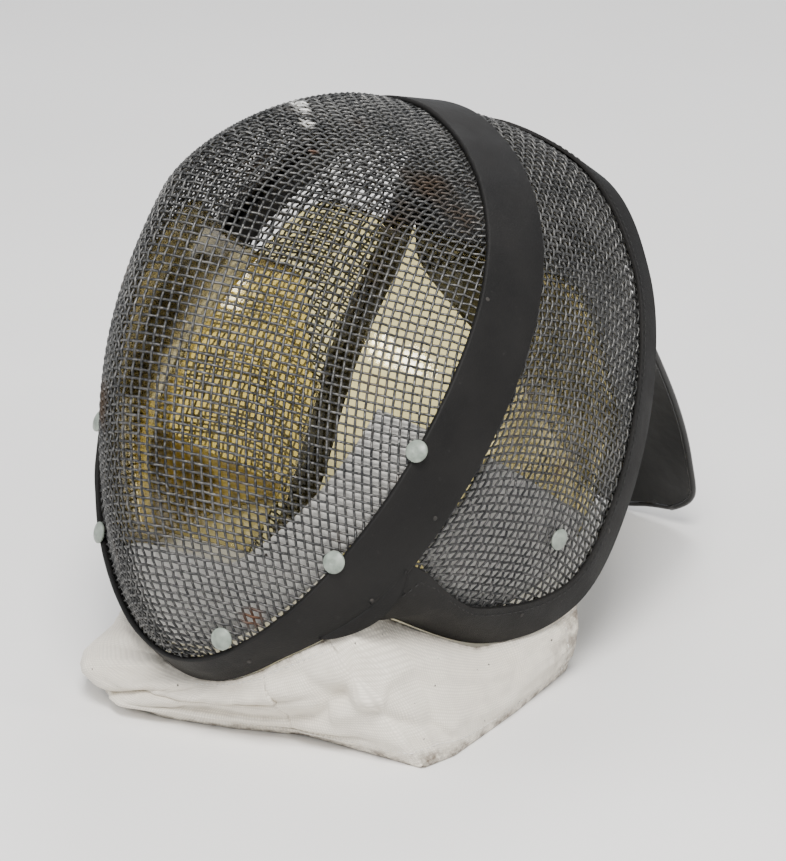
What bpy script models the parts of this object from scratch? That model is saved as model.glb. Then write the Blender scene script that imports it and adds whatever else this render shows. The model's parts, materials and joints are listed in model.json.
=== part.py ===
"""A fencing mask resting on a table, face up, on its cloth bib, one cheek and its tongue.

Lengths are metres. The mask is worked out upright in its own frame: +X is the wearer's
left, +Y runs back through the head and +Z up, with the chin of the sight edge at the
origin. It is then rolled and leaned back into the pose in which it lies.
"""

import math

import bmesh
import bpy
from mathutils import Matrix, Vector

# Sight edge, where the front mesh meets the leather band
SIGHT_WIDTH = 0.195
SIGHT_HEIGHT = 0.287
SIGHT_EGG = 0.026
SIGHT_SQUARE = -0.077
SIGHT_BOW = -0.028
SIGHT_SWAY = 0.035
CHIN_REACH = 0.046

# Front mesh, a dome with a soft ridge down the middle
DOME_DEPTH = 0.1125
DOME_PEAK_SHARE = 0.71
DOME_SIDE_POWERS = (1.66, 0.67)
DOME_CROSS_POWERS = (1.6, 1.294)
MESH_THICKNESS = 0.002

# Side mesh, over the crown and down both cheeks
SIDE_DEPTH = 0.123
SIDE_BULGE = 0.004
CHEEK_END_ANGLE = 2.37

# Leather front band and the black lining strip inside it
BAND_DEPTH = 0.0288
BAND_FLARE = 0.0117
BAND_THICKNESS = 0.0025
BAND_PROUD = 0.002
CHIN_NARROWING = 0.42
CHIN_NARROWS_FROM = 2.2
CHIN_NARROWS_BY = 2.75
INNER_STRIP_THICKNESS = 0.0016

# How the side mesh is laid out from front to back: where it leaves the band, and the row
# that ends under the trim
BAND_ROW = 0.25
TRIM_ROW = 0.89
UNDER_BAND = 0.0045

# Leather trim folded round the rear edge of the side mesh
TRIM_WIDTH = 0.015
TRIM_INNER_WIDTH = 0.009
TRIM_THICKNESS = 0.0018
TRIM_CHIN_WIDENING = 0.4

# Leather tongue sewn to the trim at the crown
TONGUE_LENGTH = 0.265
TONGUE_HALF_WIDTH = 0.085
TONGUE_ROOT_SHARE = 0.215
TONGUE_THICKNESS = 0.003

# Canvas bib and the cloth that lines the chin and the cheeks
BIB_REACH = 0.105
BIB_SPAN = 0.180
BIB_THICKNESS = 0.002
BIB_HEM_WIDTH = 0.016
CLOTH_THICKNESS = 0.0014
CHIN_LINING_HEIGHT = 0.0405
CHIN_LINING_SIDE_ANGLE = 1.74
CHEEK_LINING_TOP = 0.735

# Clear shield bent inside the face
SHIELD_INSET = 0.0055
SHIELD_THICKNESS = 0.0012
SHIELD_TOP = 0.216
SHIELD_EAR_FALL = 0.45
SHIELD_NOTCH = 0.103
SHIELD_BOTTOM = 0.047

# Plastic stud heads that hold the cloth to the mesh
STUD_RADIUS = 0.0052
STUD_HEIGHT = 0.0026

# Fits and pose
CLEARANCE = 0.0003
LEAN = math.radians(31.64)
ROLL = math.radians(-12.29)

POSE = Matrix.Rotation(-LEAN, 3, "X") @ Matrix.Rotation(ROLL, 3, "Y")

# Rear edge of the mask from the crown to the end of the cheek.
# across: share of half SIGHT_WIDTH; back: share of SIDE_DEPTH; up: share of SIGHT_HEIGHT
REAR_EDGE = (
    dict(across=0.000, back=0.565, up=1.029),
    dict(across=0.585, back=0.813, up=0.994),
    dict(across=0.865, back=0.976, up=0.845),
    dict(across=1.029, back=1.000, up=0.646),
    dict(across=1.049, back=0.986, up=0.430),
    dict(across=0.990, back=0.872, up=0.252),
    dict(across=0.860, back=0.530, up=0.148),
    dict(across=0.690, back=0.000, up=0.135),
)

# Tongue below the crown, down to its tip.
# half_width: share of TONGUE_HALF_WIDTH; aside, back and down: its middle line from the
# crown, as shares of TONGUE_LENGTH; cup: how far its edges turn forward
TONGUE_ROWS = (
    dict(half_width=0.79, aside=0.032, back=0.070, down=0.256, cup=0.04),
    dict(half_width=0.72, aside=0.045, back=0.128, down=0.348, cup=0.05),
    dict(half_width=0.66, aside=0.058, back=0.196, down=0.446, cup=0.06),
    dict(half_width=0.59, aside=0.072, back=0.266, down=0.554, cup=0.06),
    dict(half_width=0.53, aside=0.084, back=0.312, down=0.645, cup=0.05),
    dict(half_width=0.48, aside=0.095, back=0.343, down=0.725, cup=0.04),
    dict(half_width=0.42, aside=0.107, back=0.366, down=0.795, cup=0.03),
    dict(half_width=0.32, aside=0.111, back=0.376, down=0.836, cup=0.02),
)

# Bib from the rear of the left cheek round the chin to the right cheek.
# at: place along the edge it hangs from, -1 the left cheek, 0 the chin, 1 the right one;
# foot_x: share of BIB_REACH; foot_y: share of BIB_SPAN back from the chin;
# belly: how far the middle swells outward, as a share of BIB_REACH
BIB_ROWS = (
    dict(at=-1.00, foot_x=0.66, foot_y=1.000, belly=0.02),
    dict(at=-0.84, foot_x=0.80, foot_y=0.720, belly=0.05),
    dict(at=-0.68, foot_x=0.91, foot_y=0.440, belly=0.07),
    dict(at=-0.54, foot_x=0.90, foot_y=0.335, belly=0.05),
    dict(at=-0.42, foot_x=0.62, foot_y=0.290, belly=0.05),
    dict(at=-0.30, foot_x=0.32, foot_y=0.240, belly=0.08),
    dict(at=-0.18, foot_x=0.05, foot_y=0.130, belly=0.05),
    dict(at=-0.05, foot_x=-0.24, foot_y=0.040, belly=0.04),
    dict(at=0.08, foot_x=-0.53, foot_y=0.010, belly=0.16),
    dict(at=0.22, foot_x=-0.82, foot_y=0.070, belly=0.24),
    dict(at=0.36, foot_x=-0.98, foot_y=0.240, belly=0.14),
    dict(at=0.50, foot_x=-1.02, foot_y=0.420, belly=0.03),
)

# Creases across the bib: at and height place the middle, run_at and run_height give the
# direction, reach is the half length, width the half width, depth a share of BIB_REACH
BIB_FOLDS = (
    dict(at=-0.50, height=0.50, run_at=0.10, run_height=-0.40, width=0.050, depth=-0.040),
    dict(at=-0.22, height=0.30, run_at=0.22, run_height=0.04, width=0.120, depth=0.035),
    dict(at=-0.20, height=0.62, run_at=0.20, run_height=0.05, width=0.110, depth=-0.035),
    dict(at=0.06, height=0.45, run_at=0.04, run_height=0.30, width=0.045, depth=-0.060),
    dict(at=-0.36, height=0.80, run_at=0.10, run_height=0.02, width=0.100, depth=0.040),
)

# Studs: angle round the sight edge from the crown, and how far inside that edge
EDGE_STUDS = (
    dict(name="stud_upper", angle=1.82, inward=-0.0010),
    dict(name="stud_lower", angle=2.26, inward=0.0010),
)
CHIN_STUD = dict(name="stud_chin", angle=2.83, inward=0.0045)
CHEEK_STUD = dict(name="stud_cheek", along=0.700, back=0.74)


def start_empty():
    """Remove what the file opens with."""
    for old in list(bpy.data.objects):
        bpy.data.objects.remove(old)
    collection = bpy.data.collections.new("fencing_mask")
    bpy.context.scene.collection.children.link(collection)
    return collection


def make_material(name, colour, roughness, metallic=0.0, alpha=1.0):
    material = bpy.data.materials.new(name)
    material.use_nodes = True
    shader = material.node_tree.nodes["Principled BSDF"]
    shader.inputs["Base Color"].default_value = (*colour, 1.0)
    shader.inputs["Roughness"].default_value = roughness
    shader.inputs["Metallic"].default_value = metallic
    shader.inputs["Alpha"].default_value = alpha
    return material


def posed(point):
    """From the upright frame of the mask to the pose in which it lies."""
    return POSE @ Vector(point)


def smooth_step(value, low, high):
    share = min(max((value - low) / (high - low), 0.0), 1.0)
    return share * share * (3 - 2 * share)


def between(rows, place):
    """A Catmull-Rom curve through equally spaced rows; place runs from 0 to 1."""
    span = place * (len(rows) - 1)
    index = min(int(max(span, 0.0)), len(rows) - 2)
    t = span - index
    p1, p2 = rows[index], rows[index + 1]
    p0 = rows[index - 1] if index > 0 else 2 * p1 - p2
    p3 = rows[index + 2] if index + 2 < len(rows) else 2 * p2 - p1
    return 0.5 * (
        2 * p1
        + (p2 - p0) * t
        + (2 * p0 - 5 * p1 + 4 * p2 - p3) * t * t
        + (3 * p1 - p0 - 3 * p2 + p3) * t * t * t
    )


def sight_edge(angle, out=0.0, back=0.0):
    """A point on the sight edge: angle 0 at the crown, pi at the chin, minus on the right."""
    side = -1.0 if angle < 0 else 1.0
    sine, cosine = math.sin(abs(angle)), math.cos(angle)
    half_width = SIGHT_WIDTH / 2 + out
    half_height = SIGHT_HEIGHT / 2 + out
    x = half_width * sine * (1 + SIGHT_EGG * cosine + SIGHT_SQUARE * math.cos(2 * angle))
    y = SIGHT_BOW * sine**2 + SIGHT_SWAY * sine**2 * cosine
    y -= CHIN_REACH * max(0.0, -cosine) ** 3
    return Vector((side * x, y + back, SIGHT_HEIGHT / 2 + half_height * cosine))


def band_share(angle):
    """The band narrows towards the chin."""
    return 1 - CHIN_NARROWING * smooth_step(abs(angle), CHIN_NARROWS_FROM, CHIN_NARROWS_BY)


def band_axes(angle):
    """Front and rear points of the band's inner face, its direction across and its normal."""
    share = band_share(angle)
    front = sight_edge(angle, 0.0, -BAND_PROUD)
    rear = sight_edge(angle, (BAND_FLARE - BAND_THICKNESS) * share, BAND_DEPTH * share)
    step = 0.01
    tangent = sight_edge_turn(angle + step) - sight_edge_turn(angle - step)
    across = (rear - front).normalized()
    normal = across.cross(tangent).normalized()
    outward = front - Vector((0, front.y, SIGHT_HEIGHT / 2))
    if normal.dot(outward) < 0:
        normal.negate()
    return front, rear, across, normal


def sight_edge_turn(angle):
    """The sight edge for an angle that may pass pi."""
    if angle > math.pi:
        angle -= 2 * math.pi
    if angle < -math.pi:
        angle += 2 * math.pi
    return sight_edge(angle)


def rear_edge(place):
    """The outer rear corner of the trim: place 0 at the crown, 1 at the end of the left cheek."""
    side = -1.0 if place < 0 else 1.0
    rows = [
        Vector((row["across"] * SIGHT_WIDTH / 2, row["back"] * SIDE_DEPTH, row["up"] * SIGHT_HEIGHT))
        for row in REAR_EDGE
    ]
    mirrored = rows[1].copy()
    mirrored.x = -mirrored.x
    count = len(rows)
    point = between([mirrored, *rows], (abs(place) * (count - 1) + 1) / count)
    return Vector((side * point.x, point.y, point.z))


def dome_point(angle, across):
    """The front mesh: angle sets the height, across runs from 0 at the ridge to 1 at the edge."""
    edge = sight_edge(angle)
    share = edge.z / SIGHT_HEIGHT
    if share > DOME_PEAK_SHARE:
        fall = (share - DOME_PEAK_SHARE) / (1 - DOME_PEAK_SHARE)
    else:
        fall = (DOME_PEAK_SHARE - share) / DOME_PEAK_SHARE
    fall = min(max(fall, 0.0), 1.0)
    profile = (1 - fall ** DOME_SIDE_POWERS[0]) ** DOME_SIDE_POWERS[1]
    cross = (1 - min(abs(across), 1.0) ** DOME_CROSS_POWERS[0]) ** DOME_CROSS_POWERS[1]
    return Vector((edge.x * across, edge.y - DOME_DEPTH * profile * cross, edge.z))


def dome_at(x, z, inset=0.0):
    """The front mesh at a place seen from the front, or a sheet that far behind it."""
    half_height = SIGHT_HEIGHT / 2
    cosine = min(max((z - half_height) / half_height, -0.999999), 0.999999)
    angle = math.acos(cosine)
    half_width = max(sight_edge(angle).x, 1e-6)
    point = dome_point(angle, min(abs(x) / half_width, 1.0))
    point.x = x
    if inset:
        point -= dome_normal(x, z) * inset
    return point


def dome_normal(x, z):
    """Which way the front mesh faces there."""
    step = 0.002
    right = dome_at(x + step, z) - dome_at(x - step, z)
    up = dome_at(x, z + step) - dome_at(x, z - step)
    return right.cross(up).normalized()


def dome_spoke(angle, radius, inset=0.0):
    """The front mesh on a spoke from its middle to the sight edge at that angle."""
    edge = sight_edge(angle)
    middle = SIGHT_HEIGHT / 2
    return dome_at(edge.x * radius, middle + (edge.z - middle) * radius, inset)


def side_point(place, back, inset=0.0):
    """The side mesh: back 0 under the front of the band, 1 at the rear edge."""
    side = -1.0 if place < 0 else 1.0
    angle = abs(place) * CHEEK_END_ANGLE
    front, rear, across, normal = band_axes(angle)
    under = CLEARANCE + MESH_THICKNESS / 2
    start = front + across * (BAND_PROUD + UNDER_BAND) - normal * under
    band_edge = rear - normal * under
    corner = rear_edge(abs(place))
    tangent = rear_edge(abs(place) + 0.01) - rear_edge(abs(place) - 0.01)
    swell = (corner - band_edge).cross(tangent).normalized()
    if swell.dot(normal) < 0:
        swell.negate()
    corner -= swell * (TRIM_THICKNESS + CLEARANCE + MESH_THICKNESS / 2)
    run = corner - band_edge
    end = corner - run.normalized() * (TRIM_THICKNESS + 2 * CLEARANCE)
    if back < BAND_ROW:
        point = start.lerp(band_edge, back / BAND_ROW)
    else:
        share = (back - BAND_ROW) / (1 - BAND_ROW)
        bulge = min(SIDE_BULGE, 0.08 * run.length)
        point = band_edge.lerp(end, share) + swell * bulge * math.sin(math.pi * share)
        normal = normal.lerp(swell, min(share * 3, 1.0)).normalized()
    point = point - normal * inset
    return Vector((side * point.x, point.y, point.z))


def add_object(collection, name, points, faces, material):
    """One object from points in the upright frame."""
    mesh = bpy.data.meshes.new(name)
    mesh.from_pydata([posed(point) for point in points], [], faces)
    mesh.update()
    made = bpy.data.objects.new(name, mesh)
    mesh.materials.append(material)
    mesh.shade_smooth()
    mesh.set_sharp_from_angle(angle=math.radians(50))
    collection.objects.link(made)
    return made


def face_out(made):
    """Turn the faces of a closed body outward."""
    shape = bmesh.new()
    shape.from_mesh(made.data)
    bmesh.ops.recalc_face_normals(shape, faces=shape.faces)
    shape.to_mesh(made.data)
    shape.free()


def mirrored(corners, index, count):
    """Start the faces of one half a corner later, so that their diagonals mirror the other half's."""
    if 2 * index < count - 1:
        return corners[1:] + corners[:1]
    return corners


def wall(collection, name, grid, thickness, material, wrap=False):
    """A sheet through a grid of points, given its thickness half on each side."""
    rows, columns = len(grid), len(grid[0])
    points = [point for row in grid for point in row]
    faces = []
    for row in range(rows - 1):
        for column in range(columns if wrap else columns - 1):
            after = (column + 1) % columns
            corners = (
                row * columns + column,
                row * columns + after,
                (row + 1) * columns + after,
                (row + 1) * columns + column,
            )
            faces.append(mirrored(corners, column, columns))
    made = add_object(collection, name, points, faces, material)
    thicken(made, thickness)
    return made


def thicken(made, thickness):
    solid = made.modifiers.new("wall", "SOLIDIFY")
    solid.thickness = thickness
    solid.offset = 0.0
    solid.use_even_offset = False
    solid.use_quality_normals = True


def sweep(collection, name, rings, material, closed):
    """A solid through a row of rings, which may meet its own start."""
    size = len(rings[0])
    points = [point for ring in rings for point in ring]
    faces = []
    count = len(rings)
    for ring in range(count if closed else count - 1):
        after = (ring + 1) % count
        for corner in range(size):
            turn = (corner + 1) % size
            corners = (
                ring * size + corner,
                ring * size + turn,
                after * size + turn,
                after * size + corner,
            )
            faces.append(mirrored(corners, ring, count))
    if not closed:
        faces.append(tuple(range(size)))
        faces.append(tuple(range((count - 1) * size, count * size)))
    made = add_object(collection, name, points, faces, material)
    face_out(made)
    return made


def make_front_mesh(collection, material):
    """The dome, as rings round its middle out to just inside the band."""
    spokes, rings = 44, 10
    edge_share = 1 - (CLEARANCE + MESH_THICKNESS / 4) / (SIGHT_WIDTH / 2)
    points = [dome_at(0.0, SIGHT_HEIGHT / 2, MESH_THICKNESS / 2)]
    faces = []
    for ring in range(1, rings + 1):
        radius = edge_share * (ring / rings) ** 0.9
        for spoke in range(spokes):
            angle = math.pi * (2 * spoke / spokes - 1)
            points.append(dome_spoke(angle, radius, MESH_THICKNESS / 2))
    for spoke in range(spokes):
        after = (spoke + 1) % spokes
        faces.append((0, 1 + after, 1 + spoke))
        for ring in range(rings - 1):
            inner, outer = 1 + ring * spokes, 1 + (ring + 1) * spokes
            faces.append((inner + spoke, inner + after, outer + after, outer + spoke))
    made = add_object(collection, "front_mesh", points, faces, material)
    face_out(made)
    thicken(made, MESH_THICKNESS)
    return made


def side_places(skipped=0):
    """Places round the side mesh, from the right cheek to the left, shared by what lies on it."""
    stations = 49
    places = [0.965 * (2 * index / (stations - 1) - 1) for index in range(stations)]
    return places[skipped : stations - skipped]


def make_side_mesh(collection, material):
    grid = []
    for back in (0.0, 0.125, BAND_ROW, 0.43, 0.61, 0.77, TRIM_ROW, 1.0):
        grid.append([side_point(place, back) for place in side_places()])
    return wall(collection, "side_mesh", grid, MESH_THICKNESS, material)


def make_front_band(collection, material):
    """A flat leather hoop round the sight edge, a little proud of both meshes."""
    stations = 64
    rings = []
    for index in range(stations):
        angle = math.pi * (2 * index / stations - 1) + 1e-4
        side = -1.0 if angle < 0 else 1.0
        front, rear, across, normal = band_axes(abs(angle))
        rounding = BAND_THICKNESS * 0.3
        ring = [
            front,
            front + normal * (BAND_THICKNESS - rounding),
            front + across * rounding + normal * BAND_THICKNESS,
            rear - across * rounding + normal * BAND_THICKNESS,
            rear + normal * (BAND_THICKNESS - rounding),
            rear,
        ]
        rings.append([Vector((side * point.x, point.y, point.z)) for point in ring])
    return sweep(collection, "front_band", rings, material, closed=True)


def make_inner_strip(collection, material):
    """The black strip that lines the band inside, from cheek to cheek over the crown."""
    depth = 3 * CLEARANCE + MESH_THICKNESS
    rings = []
    for place in side_places(2):
        angle = place * CHEEK_END_ANGLE
        side = -1.0 if angle < 0 else 1.0
        front, rear, across, normal = band_axes(abs(angle))
        start = front + across * (BAND_PROUD + 0.006)
        ring = [
            start - normal * depth,
            rear - normal * depth,
            rear - normal * (depth + INNER_STRIP_THICKNESS),
            start - normal * (depth + INNER_STRIP_THICKNESS),
        ]
        rings.append([Vector((side * point.x, point.y, point.z)) for point in ring])
    return sweep(collection, "inner_strip", rings, material, closed=False)


def trim_frame(place):
    """At the rear edge: the corner, the way forward over the mesh and the way out of it."""
    near = side_point(place, 1.0)
    ahead = side_point(place, TRIM_ROW)
    step = 0.004
    tangent = (side_point(place + step, 1.0) - side_point(place - step, 1.0)).normalized()
    forward = ahead - near
    forward = (forward - tangent * forward.dot(tangent)).normalized()
    outward = forward.cross(tangent).normalized()
    inner = Vector((0, near.y * 0.4, SIGHT_HEIGHT * 0.55))
    if outward.dot(near - inner) < 0:
        outward.negate()
    return near, forward, outward


def side_normal(place, back):
    """Which way the side mesh faces there."""
    around = side_point(place + 0.004, back) - side_point(place - 0.004, back)
    ahead = side_point(place, back - 0.02) - side_point(place, back)
    normal = around.cross(ahead).normalized()
    if normal.dot(trim_frame(place)[2]) < 0:
        normal.negate()
    return normal


def trim_ring(place):
    """A channel section: outer leg, web behind the mesh and inner leg."""
    near, forward = trim_frame(place)[:2]
    looser = smooth_step(abs(place), 0.82, 0.90)
    half = MESH_THICKNESS / 2 + CLEARANCE * (1.6 + 2.4 * looser)
    full = half + TRIM_THICKNESS
    ruling = side_point(place, BAND_ROW) - near
    room = max(ruling.dot(forward), 0.3 * ruling.length)
    widening = 1 + TRIM_CHIN_WIDENING * smooth_step(abs(place), 0.78, 0.95)
    edge = side_normal(place, 1.0)

    def on_leg(width, share, height):
        back = 1 - (1 - BAND_ROW) * min(width / room, 0.62) * share
        return side_point(place, back) + side_normal(place, back) * height

    def behind(distance, height):
        return near - forward * distance + edge * height

    gap = CLEARANCE * 2
    web = TRIM_THICKNESS + gap
    outer_leg = TRIM_WIDTH * widening - web
    inner_leg = TRIM_INNER_WIDTH - web
    return [
        on_leg(outer_leg, 1.0, half),
        on_leg(outer_leg, 1.0, full),
        on_leg(outer_leg, 0.5, full),
        behind(web, full),
        behind(web, -full),
        on_leg(inner_leg, 0.5, -full),
        on_leg(inner_leg, 1.0, -full),
        on_leg(inner_leg, 1.0, -half),
        on_leg(inner_leg, 0.5, -half),
        behind(gap, -half),
        behind(gap, half),
        on_leg(outer_leg, 0.5, half),
    ]


def make_rear_trim(collection, material):
    rings = [trim_ring(place) for place in side_places()]
    return sweep(collection, "rear_trim", rings, material, closed=False)


def floor_height():
    """The lowest reach of the trim on the right cheek, which touches the table."""
    places = [-0.4 - 0.575 * index / 60 for index in range(61)]
    return min(posed(point).z for place in places for point in trim_ring(place))


def unposed(point):
    return POSE.inverted() @ Vector(point)


def make_tongue(collection, material):
    """A leather leaf that hangs from the arch of the crown down to the table."""
    columns = 13
    crown = posed(rear_edge(0.0))
    side = posed((1, 0, 0))
    lowest = floor_height() + TONGUE_THICKNESS * 0.55
    gap = CLEARANCE * 5 + TRIM_THICKNESS + TONGUE_THICKNESS / 2
    shares = [2 * column / (columns - 1) - 1 for column in range(columns)]
    root = []
    for share in shares:
        near, forward, outward = trim_frame(share * TONGUE_ROOT_SHARE)
        root.append(posed(near - forward * gap - outward * CLEARANCE))
    lines = []
    for row in TONGUE_ROWS:
        offset = Vector((row["aside"], row["back"], -row["down"])) * TONGUE_LENGTH
        half = row["half_width"] * TONGUE_HALF_WIDTH
        line = []
        for share in shares:
            point = crown + offset + side * (half * share)
            point.y -= row["cup"] * half * share * share
            point.z = max(point.z, lowest)
            line.append(point)
        lines.append(line)
    arch = []
    for height in (0.0, 0.22, 0.48, 0.74):
        back = Vector((0, 0.004 * math.sin(math.pi * height), 0))
        arch.append([start.lerp(end, height) + back for start, end in zip(root, lines[0])])
    upright = [[unposed(point) for point in line] for line in arch + lines]
    return wall(collection, "tongue", upright, TONGUE_THICKNESS, material)


def hang_point(at):
    """The edge that the bib hangs from, just under the trim and the band."""
    side = -1.0 if at > 0 else 1.0
    reach = abs(at)
    drop = BIB_THICKNESS / 2 + CLEARANCE
    corner_share = 0.62
    if reach > corner_share:
        share = (reach - corner_share) / (1 - corner_share)
        place = 0.99 - share * 0.28
        near, forward, outward = trim_frame(place)
        turn = smooth_step(place, 0.78, 0.97)
        below = TRIM_THICKNESS + CLEARANCE * 3 + drop
        beside = MESH_THICKNESS / 2 + CLEARANCE * 4 + TRIM_THICKNESS + drop
        point = near - forward * below * (1 - 0.8 * max(2 * turn - 1, 0.0))
        point += outward * beside * min(2 * turn, 1.0)
    else:
        angle = math.pi - reach / corner_share * (math.pi - 2.42)
        rear, across, normal = band_axes(angle)[1:]
        point = rear + across * drop + normal * BAND_THICKNESS / 2
    return Vector((side * point.x, point.y, point.z))


def bib_row(at):
    """Foot and belly of the bib at a place along its edge."""
    for first, second in zip(BIB_ROWS, BIB_ROWS[1:]):
        if at <= second["at"]:
            break
    share = (at - first["at"]) / (second["at"] - first["at"])
    share = share * share * (3 - 2 * share)
    return {key: first[key] + (second[key] - first[key]) * share for key in first}


def fold_depth(at, height):
    total = 0.0
    for fold in BIB_FOLDS:
        run = (fold["run_at"], fold["run_height"])
        length = math.hypot(*run)
        away = (at - fold["at"], height - fold["height"])
        along = (away[0] * run[0] + away[1] * run[1]) / length
        aside = (away[0] * run[1] - away[1] * run[0]) / length
        total += fold["depth"] * math.exp(-((aside / fold["width"]) ** 2) - (along / length) ** 2)
    return total


def make_bib(collection, material):
    """Canvas from the cheeks and the chin down to the table, turned in flat on it."""
    stations = 41
    heights = (0.0, 0.12, 0.25, 0.4, 0.55, 0.7, 0.82, 0.92, 1.0)
    floor = floor_height() + BIB_THICKNESS / 2
    chin = posed(sight_edge(math.pi))
    first, last = BIB_ROWS[0]["at"], BIB_ROWS[-1]["at"]
    columns = []
    for index in range(stations):
        at = first + (last - first) * index / (stations - 1)
        row = bib_row(at)
        top = posed(hang_point(at))
        foot = Vector((row["foot_x"] * BIB_REACH, chin.y + row["foot_y"] * BIB_SPAN, floor))
        step = 0.01
        ahead, behind = bib_row(min(at + step, last)), bib_row(max(at - step, first))
        tangent = Vector(
            (
                (ahead["foot_x"] - behind["foot_x"]) * BIB_REACH,
                (ahead["foot_y"] - behind["foot_y"]) * BIB_SPAN,
                0,
            )
        ).normalized()
        outward = Vector((-tangent.y, tangent.x, 0))
        line = []
        for height in heights:
            point = top.lerp(foot, height)
            arch = max(math.sin(math.pi * height), 0.0)
            swell = row["belly"] * arch + fold_depth(at, height) * math.sqrt(arch)
            line.append(point + outward * swell * BIB_REACH)
        line.append(foot - outward * BIB_HEM_WIDTH * 0.45)
        line.append(foot - outward * BIB_HEM_WIDTH)
        columns.append([unposed(point) for point in line])
    return wall(collection, "bib", columns, BIB_THICKNESS, material)


def make_chin_lining(collection, material):
    """Cloth inside the front mesh, low across the chin and up beside the band."""
    stations, rows = 37, 5
    inset = MESH_THICKNESS + CLOTH_THICKNESS / 2 + CLEARANCE * 4
    grid = []
    middle = SIGHT_HEIGHT / 2
    for index in range(stations):
        turn = 2 * index / (stations - 1) - 1
        angle = math.pi - abs(turn) * (math.pi - CHIN_LINING_SIDE_ANGLE)
        side = -1.0 if turn > 0 else 1.0
        edge = sight_edge(angle)
        chin_cut = (CHIN_LINING_HEIGHT - middle) / (edge.z - middle) if edge.z < middle else 1.0
        inner = min(0.89, max(chin_cut, 0.0)) if chin_cut > 0 else 0.89
        line = []
        for row in range(rows):
            radius = inner + (0.925 - inner) * row / (rows - 1)
            line.append(dome_spoke(side * angle, radius, inset))
        grid.append(line)
    return wall(collection, "chin_lining", grid, CLOTH_THICKNESS, material)


def make_cheek_lining(collection, material, side, name):
    """Cloth inside the lower part of one cheek."""
    inset = (MESH_THICKNESS + CLOTH_THICKNESS) / 2 + CLEARANCE * 2 + INNER_STRIP_THICKNESS
    grid = []
    rows, columns = 9, 9
    for row in range(rows):
        line = []
        for column in range(columns):
            along = row / (rows - 1)
            place = CHEEK_LINING_TOP + (0.89 - CHEEK_LINING_TOP) * along
            width = (side_point(place, 1.0) - side_point(place, BAND_ROW)).length
            last = min(0.85, 1 - (1 - BAND_ROW) * (TRIM_INNER_WIDTH + 0.006) / width)
            back = 0.30 + (last - 0.30) * column / (columns - 1)
            place -= 0.17 * (back - BAND_ROW) * (1 - along)
            line.append(side_point(side * place, back, inset))
        grid.append(line)
    return wall(collection, name, grid, CLOTH_THICKNESS, material)


def shield_top(share):
    """Height of the shield's top edge: a notch at the nose, then a rounded ear on each cheek."""
    rise = smooth_step(abs(share), 0.07, 0.33)
    fall = smooth_step(abs(share), 0.78, 1.0)
    return SHIELD_NOTCH + (SHIELD_TOP - SHIELD_NOTCH) * (rise - SHIELD_EAR_FALL * fall)


def shield_bottom(share):
    rise = smooth_step(abs(share), 0.52, 1.0)
    return SHIELD_BOTTOM + (SHIELD_NOTCH - SHIELD_BOTTOM) * rise


def angle_at_height(z):
    half = SIGHT_HEIGHT / 2
    return math.acos(min(max((z - half) / half, -1.0), 1.0))


def place_at_height(z):
    """Where the rear edge has that height, found by halving."""
    low, high = 0.15, 0.9
    for _ in range(24):
        middle = (low + high) / 2
        if rear_edge(middle).z > z:
            low = middle
        else:
            high = middle
    return (low + high) / 2


def shield_point(share, z):
    """The shield's smooth level line at one height, from the nose to the end of a cheek."""
    side = -1.0 if share < 0 else 1.0
    angle = angle_at_height(z)
    half_width = sight_edge(angle).x
    corner = rear_edge(place_at_height(z))
    knots = [dome_at(half_width * across, z, SHIELD_INSET) for across in (0.0, 0.2, 0.4, 0.6, 0.76)]
    rear = band_axes(angle)[1]
    inner = Vector((-1, 0, 0))
    knots.append(Vector((rear.x, rear.y, z)) + inner * (SHIELD_INSET + 0.004))
    beside = Vector((rear.x, rear.y, z))
    reach = Vector((corner.x, corner.y, z))
    for back in (0.3, 0.6, 0.9):
        knots.append(beside.lerp(reach, back) + inner * (SHIELD_INSET + 0.001))
    point = between(knots, abs(share))
    return Vector((side * point.x, point.y, point.z))


def make_shield(collection, material):
    stations, rows = 37, 9
    grid = []
    for index in range(stations):
        share = 0.97 * (2 * index / (stations - 1) - 1)
        top, bottom = shield_top(share), shield_bottom(share)
        grid.append([shield_point(share, bottom + (top - bottom) * row / (rows - 1)) for row in range(rows)])
    return wall(collection, "face_shield", grid, SHIELD_THICKNESS, material)


def make_stud(collection, name, place, axis, material):
    """A low domed head, as a disc with a rounded face."""
    sides = 12
    reference = Vector((0, 0, 1)) if abs(axis.z) < 0.9 else Vector((1, 0, 0))
    first = axis.cross(reference).normalized()
    second = axis.cross(first)
    profile = ((1.0, 0.0), (1.0, 0.45), (0.72, 0.9))
    rings = []
    for radius, height in profile:
        ring = []
        for corner in range(sides):
            turn = 2 * math.pi * corner / sides
            spoke = (first * math.cos(turn) + second * math.sin(turn)) * STUD_RADIUS * radius
            ring.append(place + spoke + axis * (CLEARANCE + STUD_HEIGHT * height))
        rings.append(ring)
    return sweep(collection, name, rings, material, closed=False)


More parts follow.
